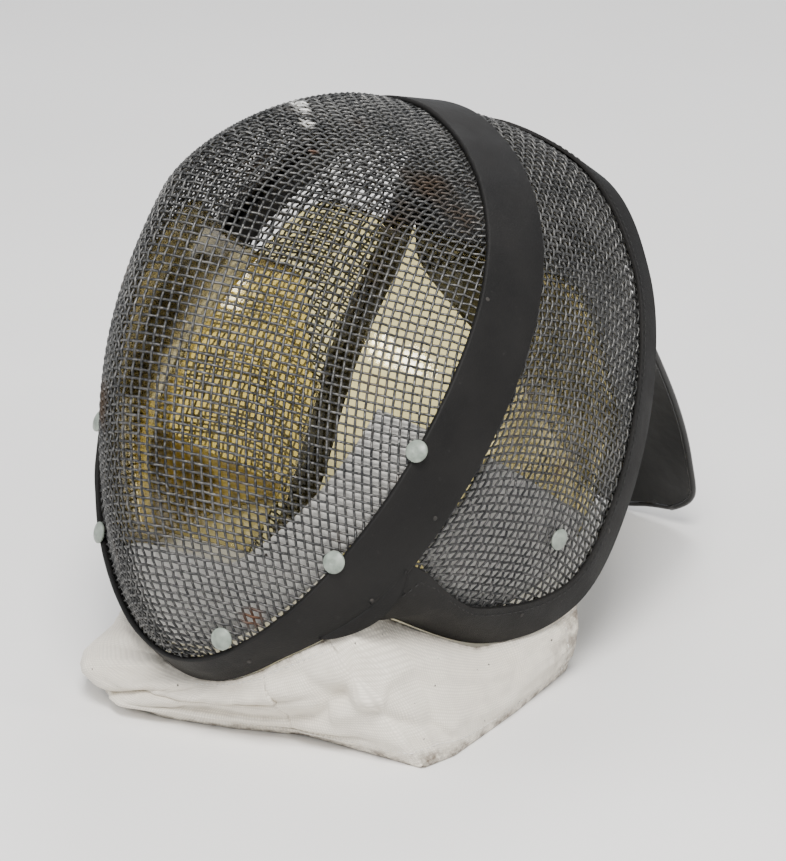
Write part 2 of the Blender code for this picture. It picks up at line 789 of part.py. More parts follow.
def edge_stud_seat(angle, inward, side):
    """A seat where the front mesh meets the band, clear of both."""
    reach = (sight_edge(angle) - Vector((0, 0, SIGHT_HEIGHT / 2))).length
    share = 1 - inward / reach
    centre = dome_spoke(angle, share)
    inner = dome_spoke(angle, share - 0.004 / reach)
    axis = (dome_normal(inner.x, inner.z) + Vector((0, -1, 0))).normalized()
    around = []
    for turn in range(-4, 5):
        near = angle + turn * STUD_RADIUS / 4 / reach
        front, rear, across, normal = band_axes(near)
        around += [front + normal * BAND_THICKNESS * along for along in (0.0, 0.35, 0.7)]
        around += [dome_spoke(near, share + step * STUD_RADIUS / 3 / reach) for step in range(-4, 5)]
    lift = 0.0
    for point in around:
        offset = point - centre
        height = offset.dot(axis)
        if (offset - axis * height).length < STUD_RADIUS + CLEARANCE:
            lift = max(lift, height)
    seat = centre + axis * lift
    return Vector((side * seat.x, seat.y, seat.z)), Vector((side * axis.x, axis.y, axis.z))


def make_studs(collection, material):
    for side, suffix in ((1.0, "left"), (-1.0, "right")):
        for stud in EDGE_STUDS:
            seat, axis = edge_stud_seat(stud["angle"], stud["inward"], side)
            make_stud(collection, f"{stud['name']}_{suffix}", seat, axis, material)
        place, back = CHEEK_STUD["along"] * side, CHEEK_STUD["back"]
        skin = MESH_THICKNESS / 2
        seat = side_point(place, back, -skin)
        axis = (side_point(place, back, -0.01) - side_point(place, back)).normalized()
        make_stud(collection, f"{CHEEK_STUD['name']}_{suffix}", seat, axis, material)
    seat, axis = edge_stud_seat(CHIN_STUD["angle"], CHIN_STUD["inward"], 1.0)
    make_stud(collection, CHIN_STUD["name"], seat, axis, material)


def stand_on_origin():
    """Move the whole mask so that the middle of its box stands on the origin."""
    bpy.context.view_layer.update()
    graph = bpy.context.evaluated_depsgraph_get()
    corners = []
    for made in bpy.data.objects:
        shape = made.evaluated_get(graph).to_mesh()
        corners += [vertex.co.copy() for vertex in shape.vertices]
        made.evaluated_get(graph).to_mesh_clear()
    low = [min(corner[axis] for corner in corners) for axis in range(3)]
    high = [max(corner[axis] for corner in corners) for axis in range(3)]
    shift = Vector((-(low[0] + high[0]) / 2, -(low[1] + high[1]) / 2, -low[2]))
    for made in bpy.data.objects:
        made.data.transform(Matrix.Translation(shift))
    return shift


def main():
    collection = start_empty()
    steel = make_material("black_steel_mesh", (0.10, 0.10, 0.10), 0.45, metallic=0.8)
    leather = make_material("black_leather", (0.025, 0.024, 0.022), 0.55)
    patent = make_material("glossy_leather", (0.012, 0.012, 0.012), 0.25)
    canvas = make_material("bib_canvas", (0.80, 0.78, 0.72), 0.9)
    amber = make_material("amber_sheet", (0.85, 0.72, 0.40), 0.08, alpha=0.4)
    plastic = make_material("clear_plastic", (0.80, 0.84, 0.80), 0.35)
    make_front_mesh(collection, steel)
    make_side_mesh(collection, steel)
    make_front_band(collection, leather)
    make_inner_strip(collection, leather)
    make_rear_trim(collection, leather)
    make_tongue(collection, patent)
    make_bib(collection, canvas)
    make_chin_lining(collection, canvas)
    make_cheek_lining(collection, canvas, 1.0, "cheek_lining_left")
    make_cheek_lining(collection, canvas, -1.0, "cheek_lining_right")
    make_shield(collection, amber)
    make_studs(collection, plastic)
    stand_on_origin()


main()
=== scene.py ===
"""Fencing mask: wires, leather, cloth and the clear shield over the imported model."""

import json
import math

import bpy
from mathutils import Matrix, Vector, noise

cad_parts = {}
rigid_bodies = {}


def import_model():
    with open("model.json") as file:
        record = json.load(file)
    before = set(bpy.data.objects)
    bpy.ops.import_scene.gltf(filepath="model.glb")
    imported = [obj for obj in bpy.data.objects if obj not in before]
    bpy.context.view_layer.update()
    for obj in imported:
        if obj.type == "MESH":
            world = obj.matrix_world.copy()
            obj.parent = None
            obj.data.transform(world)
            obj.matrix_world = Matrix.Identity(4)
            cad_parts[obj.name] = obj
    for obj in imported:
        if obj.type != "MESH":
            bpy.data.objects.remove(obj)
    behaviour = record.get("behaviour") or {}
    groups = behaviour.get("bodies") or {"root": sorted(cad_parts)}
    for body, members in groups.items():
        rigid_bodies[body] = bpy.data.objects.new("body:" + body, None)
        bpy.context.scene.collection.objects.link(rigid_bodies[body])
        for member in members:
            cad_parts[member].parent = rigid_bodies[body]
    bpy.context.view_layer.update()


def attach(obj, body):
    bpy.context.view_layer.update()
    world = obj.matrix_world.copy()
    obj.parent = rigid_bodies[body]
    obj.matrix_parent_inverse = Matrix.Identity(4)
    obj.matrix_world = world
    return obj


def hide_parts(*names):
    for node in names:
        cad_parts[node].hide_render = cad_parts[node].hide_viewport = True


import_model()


def table(columns, *rows):
    """Rows of a table as dictionaries, by the names of its columns."""
    return [dict(zip(columns.split(), row)) for row in rows]


# The two halves of the mask
SIDES = ((1.0, "left"), (-1.0, "right"))

# From the posed mask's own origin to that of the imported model
SHIFT = Vector((0.026374, -0.127260, 0.018659))

# Camera, fitted to the photograph in the row frame
CAMERA_PLACE = (1.05477, -1.00450, 0.68276)
CAMERA_RIGHT = (0.68580, 0.72778, 0.0)
CAMERA_UP = (-0.26978, 0.25422, 0.92876)
CAMERA_BACK = (0.67593, -0.63694, 0.37069)
CAMERA_LENS = 146.404
CAMERA_SENSOR = 36.0

# Woven wire
WIRE_PITCH = 0.0041
WIRE_RADIUS = 0.00065
WIRE_WAVE = 0.00055
WIRE_SIDES = 5
DOME_SEED_ANGLE = 1.1356
DOME_MARGIN = 0.030
WIRE_TUCK = 0.0007
SIDE_SEED_BACK = 0.6
SIDE_STRAIGHT_FROM = 0.52
SIDE_SEED_MOST = 2.2
SIDE_FIRST_BACK = 0.14
SIDE_LAST_BACK = 0.96
SIDE_LAST_PLACE = 0.968
DOME_CAP = 0.012
NEARLY_ONE = 0.999999

# Growing the net: cells each way, and the search for each place
NET_REACH = 130
WALK_STRIDES = 40
WALK_HALVINGS = 26
CUT_HALVINGS = 16
HEIGHT_HALVINGS = 24
NEWTON_STEPS = 6
SOLVED = 2e-6
NEARLY_SOLVED = 0.0004

# Sight edge, where the front mesh meets the leather band
SIGHT_WIDTH = 0.195
SIGHT_HEIGHT = 0.287
SIGHT_EGG = 0.026
SIGHT_SQUARE = -0.077
SIGHT_BOW = -0.028
SIGHT_SWAY = 0.035
CHIN_REACH = 0.046

# Front mesh, a dome with a soft ridge down the middle
DOME_DEPTH = 0.1125
DOME_PEAK_SHARE = 0.71
DOME_SIDE_POWERS = (1.66, 0.67)
DOME_CROSS_POWERS = (1.6, 1.294)
MESH_THICKNESS = 0.002

# Side mesh, over the crown and down both cheeks
SIDE_DEPTH = 0.123
SIDE_BULGE = 0.004
CHEEK_END_ANGLE = 2.37
SIDE_BULGE_MOST = 0.08

# Leather front band and the black lining strip inside it
BAND_DEPTH = 0.0288
BAND_FLARE = 0.0117
BAND_THICKNESS = 0.0025
BAND_PROUD = 0.002
CHIN_NARROWING = 0.42
CHIN_NARROWS_FROM = 2.2
CHIN_NARROWS_BY = 2.75
BAND_STATIONS = 240
BAND_ROUNDING = 0.42
BAND_UNEVEN = 0.00035
INNER_STRIP_THICKNESS = 0.0016
INNER_STRIP_REACH = 0.92
INNER_STRIP_STATIONS = 160
INNER_STRIP_START = 0.006
INNER_STRIP_ROUNDING = 0.0005

# How the side mesh is laid out from front to back: where it leaves the band, and the row
# that ends under the trim
BAND_ROW = 0.25
TRIM_ROW = 0.89
UNDER_BAND = 0.0045

# Leather trim folded round the rear edge of the side mesh
TRIM_WIDTH = 0.015
TRIM_INNER_WIDTH = 0.009
TRIM_THICKNESS = 0.0018
TRIM_CHIN_WIDENING = 0.55
TRIM_ROOM = 1.05
TRIM_END_WIDENING = 2.5
TRIM_LOOSENS = (0.82, 0.90)
TRIM_SLACK = 1.6
TRIM_END_SLACK = 2.4
TRIM_CHIN_WIDENS = (0.66, 0.85)
TRIM_END_WIDENS = (0.86, 0.95)
TRIM_REACH = 0.985
TRIM_STATIONS = 192
TRIM_ROUNDING = 0.42
TRIM_SEAM = 0.42

# Where the trim can touch the table: the first place and how far on, in steps
TOUCH_FROM = -0.4
TOUCH_RUN = 0.575
TOUCH_STEPS = 60

# Leather tongue sewn to the trim at the crown
TONGUE_LENGTH = 0.265
TONGUE_HALF_WIDTH = 0.085
TONGUE_ROOT_SHARE = 0.215
TONGUE_THICKNESS = 0.003
TONGUE_EASING = 40
TONGUE_SEAT = 0.9
TONGUE_COLUMNS = 37
TONGUE_STEPS = 60
TONGUE_ARCH_STEPS = 20
TONGUE_ARCH_BACK = 0.004
TONGUE_TIP_ROWS = 1.3
TONGUE_TIP_NARROWING = 0.55
TONGUE_UNEVEN = 0.0022
TONGUE_EASED = (6, 40)
PIPING_FROM = 14
PIPING_INSET = 0.0008
PIPING_SHARE = 0.62

# Canvas bib and the cloth that lines the chin and the cheeks
BIB_REACH = 0.105
BIB_SPAN = 0.180
BIB_THICKNESS = 0.002
BIB_HEM_WIDTH = 0.016
BIB_STATIONS = 181
BIB_HANG_STEPS = 44
BIB_HEM_STEPS = 5
BIB_SEAM_INSET = 0.008
BIB_WAVER = 0.0022
BIB_FINE_WAVER = 0.0010
BIB_LOBE = (0.10, 0.30)
BIB_CALM = 0.22
BIB_END = 0.10
BIB_DIRT = 0.95
BIB_DIRT_LEAST = 0.10
BIB_HEM_DIRT = 0.4
BIB_DIRTY_FOOT = 0.86
BIB_DIRTY_TOP = 0.06

# Where the bib's top edge passes from the band to the trim, and its way along each of them
HANG_CORNER = 0.62
HANG_BAND_END = 2.42
HANG_TRIM_END = 0.99
HANG_TRIM_RUN = 0.28
HANG_TURNS = (0.78, 0.97)
CLOTH_THICKNESS = 0.0014
CHIN_LINING_HEIGHT = 0.0405
CHIN_LINING_SIDE_ANGLE = 1.74
CHEEK_LINING_TOP = 0.735
CHEEK_LINING_END = 0.89
CHEEK_LINING_BACK = (0.30, 0.85)
CHEEK_LINING_SLANT = 0.17
CHEEK_STEPS = 24
CHIN_STATIONS = 120
CHIN_ROWS = 11

# Clear shield bent inside the face
SHIELD_INSET = 0.0055
SHIELD_THICKNESS = 0.0012
SHIELD_TOP = 0.216
SHIELD_EAR_FALL = 0.45
SHIELD_NOTCH = 0.103
SHIELD_BOTTOM = 0.047
SHIELD_NOTCH_SPAN = (0.07, 0.33)
SHIELD_EAR_SPAN = (0.78, 1.0)
SHIELD_RISE_SPAN = (0.52, 1.0)
SHIELD_ACROSS = (0.0, 0.2, 0.4, 0.6, 0.76)
SHIELD_BACK = (0.3, 0.6, 0.9)
SHIELD_REACH = 0.97
SHIELD_STATIONS = 144
SHIELD_ROWS = 29

# Plastic stud heads that hold the cloth to the mesh
STUD_RADIUS = 0.0052
STUD_HEIGHT = 0.0026
STUD_SIDES = 32

# A stud's section, as shares of its radius and its height: a rolled rim and a small pip
STUD_PROFILE = (
    (0.96, 0.0), (1.0, 0.10), (1.0, 0.32), (0.96, 0.44), (0.88, 0.52), (0.74, 0.66),
    (0.56, 0.80), (0.38, 0.88), (0.26, 0.91), (0.22, 0.87), (0.16, 0.86), (0.05, 0.86),
)

# Stitches: radius, rise over the leather or cloth, and pitch
STITCH_RADIUS = 0.00032
STITCH_RISE = 0.0001
TRIM_STITCH = 0.0036
BIB_STITCH = 0.0030

# Fits and pose
CLEARANCE = 0.0003
LEAN = math.radians(31.64)
ROLL = math.radians(-12.29)

POSE = Matrix.Rotation(-LEAN, 3, "X") @ Matrix.Rotation(ROLL, 3, "Y")

# Rear edge of the mask from the crown to the end of the cheek.
# across: share of half SIGHT_WIDTH; back: share of SIDE_DEPTH; up: share of SIGHT_HEIGHT
REAR_EDGE = table(
    "across back up",
    (0.000, 0.565, 1.029),
    (0.585, 0.813, 0.994),
    (0.865, 0.976, 0.845),
    (1.029, 1.000, 0.646),
    (1.049, 0.986, 0.430),
    (0.990, 0.872, 0.252),
    (0.860, 0.530, 0.148),
    (0.690, 0.000, 0.135),
)

# Tongue below the crown, down to its tip.
# half_width: share of TONGUE_HALF_WIDTH; aside, back and down: its middle line from the
# crown, as shares of TONGUE_LENGTH; cup: how far its edges turn forward
TONGUE_ROWS = table(
    "half_width aside back down cup",
    (0.79, 0.032, 0.070, 0.256, 0.04),
    (0.72, 0.045, 0.128, 0.348, 0.05),
    (0.66, 0.058, 0.196, 0.446, 0.06),
    (0.59, 0.072, 0.266, 0.554, 0.06),
    (0.53, 0.084, 0.312, 0.645, 0.05),
    (0.48, 0.095, 0.343, 0.725, 0.04),
    (0.42, 0.107, 0.366, 0.795, 0.03),
    (0.32, 0.111, 0.376, 0.836, 0.02),
)

# Bib from the rear of the left cheek round the chin to the right cheek.
# at: place along the edge it hangs from, -1 the left cheek, 0 the chin, 1 the right one;
# foot_x: share of BIB_REACH; foot_y: share of BIB_SPAN back from the chin;
# belly: how far the middle swells outward, as a share of BIB_REACH
BIB_ROWS = table(
    "at foot_x foot_y belly",
    (-1.00, 0.66, 1.000, 0.02),
    (-0.84, 0.80, 0.720, 0.05),
    (-0.68, 0.91, 0.440, 0.07),
    (-0.54, 0.90, 0.335, 0.05),
    (-0.42, 0.62, 0.290, 0.05),
    (-0.30, 0.32, 0.240, 0.08),
    (-0.18, 0.05, 0.130, 0.05),
    (-0.05, -0.24, 0.040, 0.04),
    (0.08, -0.53, 0.010, 0.16),
    (0.22, -0.82, 0.070, 0.24),
    (0.36, -0.98, 0.240, 0.14),
    (0.50, -1.02, 0.420, 0.03),
)

# Creases across the bib: at and height place the middle, run_at and run_height give the
# direction and the half length, width the half width, depth a share of BIB_REACH
BIB_FOLDS = table(
    "at height run_at run_height width depth",
    (-0.50, 0.50, 0.10, -0.40, 0.050, -0.040),
    (-0.22, 0.30, 0.22, 0.04, 0.120, 0.035),
    (-0.20, 0.62, 0.20, 0.05, 0.110, -0.035),
    (0.06, 0.45, 0.04, 0.30, 0.045, -0.060),
    (-0.36, 0.80, 0.10, 0.02, 0.100, 0.040),
)

# Studs: angle round the sight edge from the crown, and how far inside that edge
EDGE_STUDS = table(
    "name angle inward",
    ("stud_upper", 1.82, -0.0010),
    ("stud_lower", 2.26, 0.0010),
)
CHIN_STUD = dict(name="stud_chin", angle=2.83, inward=0.0045)
CHEEK_STUD = dict(name="stud_cheek", along=0.700, back=0.74)

# Side mesh table, and how far the net may grow past its edges
SIDE_STATIONS = 160
SIDE_REACH = 1.02
SIDE_MARGIN = 0.110

# Marks of wear and the pins on the leather; pins are (angle, share across) and places
CREASE_SHARE = 0.42
CREASE_WIDTH = 0.10
CREASE_HEIGHT = 0.0007
PIN_RADIUS = 0.0011
BAND_PINS = ((1.28, 0.10), (1.98, 0.80), (2.30, 0.86), (2.80, 0.55))
TRIM_PINS = (0.62, 0.80)
PIN_SIDES = 10
PIN_PROFILE = ((1.0, -0.3), (1.0, 0.15), (0.6, 0.35))

# The leather between the band and the front end of the trim
TAB_FROM = 2.16
TAB_TO = 2.52
TAB_WIDTH = 0.0085
TAB_RISE = 0.40
TAB_BASE = 0.80
TAB_STEPS = 24
TAB_ROWS = 4
TAB_LAP = 0.002

# The lining's strip beside the band, as shares of the way from the middle of the face
STRIP_INNER = 0.825
STRIP_OUTER = 0.985

# The bib's lobe on the right cheek: how high its swelling sits, how far it is drawn in and lifted
LOBE_RISE = 0.42
LOBE_DRAW = 0.15
LOBE_LIFT = 0.010

# Where the canvas passes from the band to the trim it is tucked behind the leather
CORNER_AT = 0.59
CORNER_SPREAD = 0.07
CORNER_TUCK = 0.006

# Creases of the canvas, in the terms of BIB_FOLDS; depth in metres
BIB_CREASES = table(
    "at height run_at run_height width depth",
    (-0.58, 0.36, 0.17, 0.32, 0.036, 0.0040),
    (-0.52, 0.32, 0.17, 0.32, 0.034, -0.0036),
    (-0.34, 0.84, 0.13, 0.03, 0.030, -0.0036),
    (-0.30, 0.90, 0.08, 0.02, 0.030, 0.0020),
    (-0.13, 0.42, 0.26, 0.03, 0.040, -0.0028),
    (-0.08, 0.74, 0.22, 0.04, 0.040, 0.0026),
    (0.10, 0.55, 0.03, 0.30, 0.020, -0.0040),
    (-0.60, 0.70, 0.10, -0.22, 0.030, -0.0028),
)

# Marks on the front mesh: across, height and radius, in metres
BRIGHT_SPOTS = ((0.004, 0.262, 0.004), (0.010, 0.258, 0.003), (0.018, 0.250, 0.003))
RUST_SPOTS = ((0.030, 0.235, 0.002), (0.040, 0.022, 0.005))

# Area lights: name, place, size, power and colour
LIGHTS = (
    ("key", (0.75, -0.75, 1.8), 0.8, 62.0, (1.0, 0.98, 0.95)),
    ("fill", (-1.3, -1.5, 1.2), 1.1, 13.0, (0.95, 0.97, 1.0)),
    ("window", (-0.9, 1.2, 1.7), 0.9, 20.0, (1.0, 1.0, 1.0)),
    ("spot_left", (0.35, -1.5, 1.05), 0.16, 5.0, (1.0, 1.0, 1.0)),
    ("spot_right", (1.25, 0.10, 1.15), 0.16, 5.0, (1.0, 0.99, 0.97)),
)
LIGHT_AIM = Vector((0, 0, 0.12))


# The mask's shape, worked out upright with its chin at the origin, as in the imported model

def posed(point):
    """From the upright frame of the mask to the pose in which it lies."""
    return POSE @ Vector(point)


def sign_of(value):
    """1 on the left half of the mask, -1 on the right."""
    return -1.0 if value < 0 else 1.0


def mirrored(point, side):
    """A point of the left half, on the half that side names."""
    return Vector((side * point.x, point.y, point.z))


def smooth_step(value, low, high):
    """0 below low, 1 above high and smooth between them."""
    share = min(max((value - low) / (high - low), 0.0), 1.0)
    return share * share * (3 - 2 * share)


def between(rows, place):
    """A Catmull-Rom curve through equally spaced rows; place runs from 0 to 1."""
    span = place * (len(rows) - 1)
    index = min(int(max(span, 0.0)), len(rows) - 2)
    t = span - index
    p1, p2 = rows[index], rows[index + 1]
    p0 = rows[index - 1] if index > 0 else 2 * p1 - p2
    p3 = rows[index + 2] if index + 2 < len(rows) else 2 * p2 - p1
    return 0.5 * (
        2 * p1
        + (p2 - p0) * t
        + (2 * p0 - 5 * p1 + 4 * p2 - p3) * t * t
        + (3 * p1 - p0 - 3 * p2 + p3) * t * t * t
    )


def sight_edge(angle, out=0.0, back=0.0):
    """A point on the sight edge: angle 0 at the crown, pi at the chin, minus on the right."""
    side = sign_of(angle)
    sine, cosine = math.sin(abs(angle)), math.cos(angle)
    half_width = SIGHT_WIDTH / 2 + out
    half_height = SIGHT_HEIGHT / 2 + out
    x = half_width * sine * (1 + SIGHT_EGG * cosine + SIGHT_SQUARE * math.cos(2 * angle))
    y = SIGHT_BOW * sine**2 + SIGHT_SWAY * sine**2 * cosine
    y -= CHIN_REACH * max(0.0, -cosine) ** 3
    return Vector((side * x, y + back, SIGHT_HEIGHT / 2 + half_height * cosine))


def band_share(angle):
    """The band narrows towards the chin."""
    return 1 - CHIN_NARROWING * smooth_step(abs(angle), CHIN_NARROWS_FROM, CHIN_NARROWS_BY)


def band_axes(angle):
    """Front and rear points of the band's inner face, its direction across and its normal."""
    share = band_share(angle)
    front = sight_edge(angle, 0.0, -BAND_PROUD)
    rear = sight_edge(angle, (BAND_FLARE - BAND_THICKNESS) * share, BAND_DEPTH * share)
    step = 0.01
    tangent = sight_edge_turn(angle + step) - sight_edge_turn(angle - step)
    across = (rear - front).normalized()
    normal = across.cross(tangent).normalized()
    outward = front - Vector((0, front.y, SIGHT_HEIGHT / 2))
    if normal.dot(outward) < 0:
        normal.negate()
    return front, rear, across, normal


def sight_edge_turn(angle):
    """The sight edge for an angle that may pass pi."""
    if angle > math.pi:
        angle -= 2 * math.pi
    if angle < -math.pi:
        angle += 2 * math.pi
    return sight_edge(angle)


def rear_edge(place):
    """The outer rear corner of the trim: place 0 at the crown, 1 at the end of the left cheek."""
    rows = [
        Vector((row["across"] * SIGHT_WIDTH / 2, row["back"] * SIDE_DEPTH, row["up"] * SIGHT_HEIGHT))
        for row in REAR_EDGE
    ]
    before = mirrored(rows[1], -1.0)
    count = len(rows)
    point = between([before, *rows], (abs(place) * (count - 1) + 1) / count)
    return mirrored(point, sign_of(place))


def dome_point(angle, across):
    """The front mesh: angle sets the height, across runs from 0 at the ridge to 1 at the edge."""
    edge = sight_edge(angle)
    share = edge.z / SIGHT_HEIGHT
    if share > DOME_PEAK_SHARE:
        fall = (share - DOME_PEAK_SHARE) / (1 - DOME_PEAK_SHARE)
    else:
        fall = (DOME_PEAK_SHARE - share) / DOME_PEAK_SHARE
    fall = min(max(fall, 0.0), 1.0)
    profile = (1 - fall ** DOME_SIDE_POWERS[0]) ** DOME_SIDE_POWERS[1]
    cross = (1 - min(abs(across), 1.0) ** DOME_CROSS_POWERS[0]) ** DOME_CROSS_POWERS[1]
    return Vector((edge.x * across, edge.y - DOME_DEPTH * profile * cross, edge.z))


def dome_at(x, z, inset=0.0):
    """The front mesh at a place seen from the front, or a sheet that far behind it."""
    half_height = SIGHT_HEIGHT / 2
    cosine = min(max((z - half_height) / half_height, -NEARLY_ONE), NEARLY_ONE)
    angle = math.acos(cosine)
    half_width = max(sight_edge(angle).x, 1e-6)
    point = dome_point(angle, min(abs(x) / half_width, 1.0))
    point.x = x
    if inset:
        point -= dome_normal(x, z) * inset
    return point


def dome_normal(x, z):
    """Which way the front mesh faces there."""
    step = 0.002
    right = dome_at(x + step, z) - dome_at(x - step, z)
    up = dome_at(x, z + step) - dome_at(x, z - step)
    return right.cross(up).normalized()


def dome_spoke(angle, radius, inset=0.0):
    """The front mesh on a spoke from its middle to the sight edge at that angle."""
    edge = sight_edge(angle)
    middle = SIGHT_HEIGHT / 2
    return dome_at(edge.x * radius, middle + (edge.z - middle) * radius, inset)


def side_point(place, back, inset=0.0):
    """The side mesh: back 0 under the front of the band, 1 at the rear edge."""
    angle = abs(place) * CHEEK_END_ANGLE
    front, rear, across, normal = band_axes(angle)
    under = CLEARANCE + MESH_THICKNESS / 2
    start = front + across * (BAND_PROUD + UNDER_BAND) - normal * under
    band_edge = rear - normal * under
    corner = rear_edge(abs(place))
    tangent = rear_edge(abs(place) + 0.01) - rear_edge(abs(place) - 0.01)
    swell = (corner - band_edge).cross(tangent).normalized()
    if swell.dot(normal) < 0:
        swell.negate()
    corner -= swell * (TRIM_THICKNESS + CLEARANCE + MESH_THICKNESS / 2)
    run = corner - band_edge
    end = corner - run.normalized() * (TRIM_THICKNESS + 2 * CLEARANCE)
    if back < BAND_ROW:
        point = start.lerp(band_edge, back / BAND_ROW)
    else:
        share = (back - BAND_ROW) / (1 - BAND_ROW)
        bulge = min(SIDE_BULGE, SIDE_BULGE_MOST * run.length)
        point = band_edge.lerp(end, share) + swell * bulge * math.sin(math.pi * share)
        normal = normal.lerp(swell, min(share * 3, 1.0)).normalized()
    return mirrored(point - normal * inset, sign_of(place))


def trim_frame(place):
    """At the rear edge: the corner, the way forward over the mesh and the way out of it."""
    near = side_point(place, 1.0)
    ahead = side_point(place, TRIM_ROW)
    step = 0.004
    tangent = (side_point(place + step, 1.0) - side_point(place - step, 1.0)).normalized()
    forward = ahead - near
    forward = (forward - tangent * forward.dot(tangent)).normalized()
    outward = forward.cross(tangent).normalized()
    inner = Vector((0, near.y * 0.4, SIGHT_HEIGHT * 0.55))
    if outward.dot(near - inner) < 0:
        outward.negate()
    return near, forward, outward


def side_normal(place, back):
    """Which way the side mesh faces there."""
    around = side_point(place + 0.004, back) - side_point(place - 0.004, back)
    ahead = side_point(place, back - 0.02) - side_point(place, back)
    normal = around.cross(ahead).normalized()
    if normal.dot(trim_frame(place)[2]) < 0:
        normal.negate()
    return normal


def trim_ring(place):
    """A channel section: outer leg, web behind the mesh and inner leg."""
    near, forward = trim_frame(place)[:2]
    looser = smooth_step(abs(place), *TRIM_LOOSENS)
    half = MESH_THICKNESS / 2 + CLEARANCE * (TRIM_SLACK + TRIM_END_SLACK * looser)
    full = half + TRIM_THICKNESS
    ruling = side_point(place, BAND_ROW) - near
    room = max(ruling.dot(forward), 0.3 * ruling.length)
    widening = 1 + TRIM_CHIN_WIDENING * smooth_step(abs(place), *TRIM_CHIN_WIDENS)
    widening += TRIM_END_WIDENING * smooth_step(abs(place), *TRIM_END_WIDENS)
    edge = side_normal(place, 1.0)

    def on_leg(width, share, height):
        back = 1 - (1 - BAND_ROW) * min(width / room, TRIM_ROOM) * share
        return side_point(place, back) + side_normal(place, back) * height

    def behind(distance, height):
        return near - forward * distance + edge * height

    gap = CLEARANCE * 2
    web = TRIM_THICKNESS + gap
    outer_leg = TRIM_WIDTH * widening - web
    inner_leg = TRIM_INNER_WIDTH - web
    return [
        on_leg(outer_leg, 1.0, half),
        on_leg(outer_leg, 1.0, full),
        on_leg(outer_leg, 0.5, full),
        behind(web, full),
        behind(web, -full),
        on_leg(inner_leg, 0.5, -full),
        on_leg(inner_leg, 1.0, -full),
        on_leg(inner_leg, 1.0, -half),
        on_leg(inner_leg, 0.5, -half),
        behind(gap, -half),
        behind(gap, half),
        on_leg(outer_leg, 0.5, half),
    ]


def floor_height():
    """The lowest reach of the trim on the right cheek, which touches the table."""
    places = [TOUCH_FROM - TOUCH_RUN * index / TOUCH_STEPS for index in range(TOUCH_STEPS + 1)]
    return min(posed(point).z for place in places for point in trim_ring(place))


def hang_point(at):
    """The edge that the bib hangs from, just under the trim and the band."""
    reach = abs(at)
    drop = BIB_THICKNESS / 2 + CLEARANCE
    if reach > HANG_CORNER:
        share = (reach - HANG_CORNER) / (1 - HANG_CORNER)
        place = HANG_TRIM_END - share * HANG_TRIM_RUN
        near, forward, outward = trim_frame(place)
        turn = smooth_step(place, *HANG_TURNS)
        below = TRIM_THICKNESS + CLEARANCE * 3 + drop
        beside = MESH_THICKNESS / 2 + CLEARANCE * 4 + TRIM_THICKNESS + drop
        point = near - forward * below * (1 - 0.8 * max(2 * turn - 1, 0.0))
        point += outward * beside * min(2 * turn, 1.0)
    else:
        angle = math.pi - reach / HANG_CORNER * (math.pi - HANG_BAND_END)
        rear, across, normal = band_axes(angle)[1:]
        point = rear + across * drop + normal * BAND_THICKNESS / 2
    return mirrored(point, sign_of(-at))


def bib_row(at):
    """Foot and belly of the bib at a place along its edge."""
    for first, second in zip(BIB_ROWS, BIB_ROWS[1:]):
        if at <= second["at"]:
            break
    share = (at - first["at"]) / (second["at"] - first["at"])
    share = share * share * (3 - 2 * share)
    return {key: first[key] + (second[key] - first[key]) * share for key in first}


def crease_depth(rows, at, height, power, total=0.0):
    """What a table of creases adds there to a total; a higher power squares off their ends."""
    for row in rows:
        run = (row["run_at"], row["run_height"])
        length = math.hypot(*run)
        away = (at - row["at"], height - row["height"])
        along = (away[0] * run[0] + away[1] * run[1]) / length
        aside = (away[0] * run[1] - away[1] * run[0]) / length
        total += row["depth"] * math.exp(-((aside / row["width"]) ** 2) - (along / length) ** power)
    return total


def shield_top(share):
    """Height of the shield's top edge: a notch at the nose, then a rounded ear on each cheek."""
    rise = smooth_step(abs(share), *SHIELD_NOTCH_SPAN)
    fall = smooth_step(abs(share), *SHIELD_EAR_SPAN)
    return SHIELD_NOTCH + (SHIELD_TOP - SHIELD_NOTCH) * (rise - SHIELD_EAR_FALL * fall)


def shield_bottom(share):
    """Height of its bottom edge, which rises towards the cheeks."""
    rise = smooth_step(abs(share), *SHIELD_RISE_SPAN)
    return SHIELD_BOTTOM + (SHIELD_NOTCH - SHIELD_BOTTOM) * rise


def angle_at_height(z):
    """Where the sight edge has that height, as an angle."""
    half = SIGHT_HEIGHT / 2
    return math.acos(min(max((z - half) / half, -1.0), 1.0))


def place_at_height(z):
    """Where the rear edge has that height, found by halving."""
    low, high = 0.15, 0.9
    for _ in range(HEIGHT_HALVINGS):
        middle = (low + high) / 2
        if rear_edge(middle).z > z:
            low = middle
        else:
            high = middle
    return (low + high) / 2


def shield_point(share, z):
    """The shield's smooth level line at one height, from the nose to the end of a cheek."""
    angle = angle_at_height(z)
    half_width = sight_edge(angle).x
    corner = rear_edge(place_at_height(z))
    knots = [dome_at(half_width * across, z, SHIELD_INSET) for across in SHIELD_ACROSS]
    rear = band_axes(angle)[1]
    inner = Vector((-1, 0, 0))
    knots.append(Vector((rear.x, rear.y, z)) + inner * (SHIELD_INSET + 0.004))
    beside = Vector((rear.x, rear.y, z))
    reach = Vector((corner.x, corner.y, z))
    for back in SHIELD_BACK:
        knots.append(beside.lerp(reach, back) + inner * (SHIELD_INSET + 0.001))
    return mirrored(between(knots, abs(share)), sign_of(share))


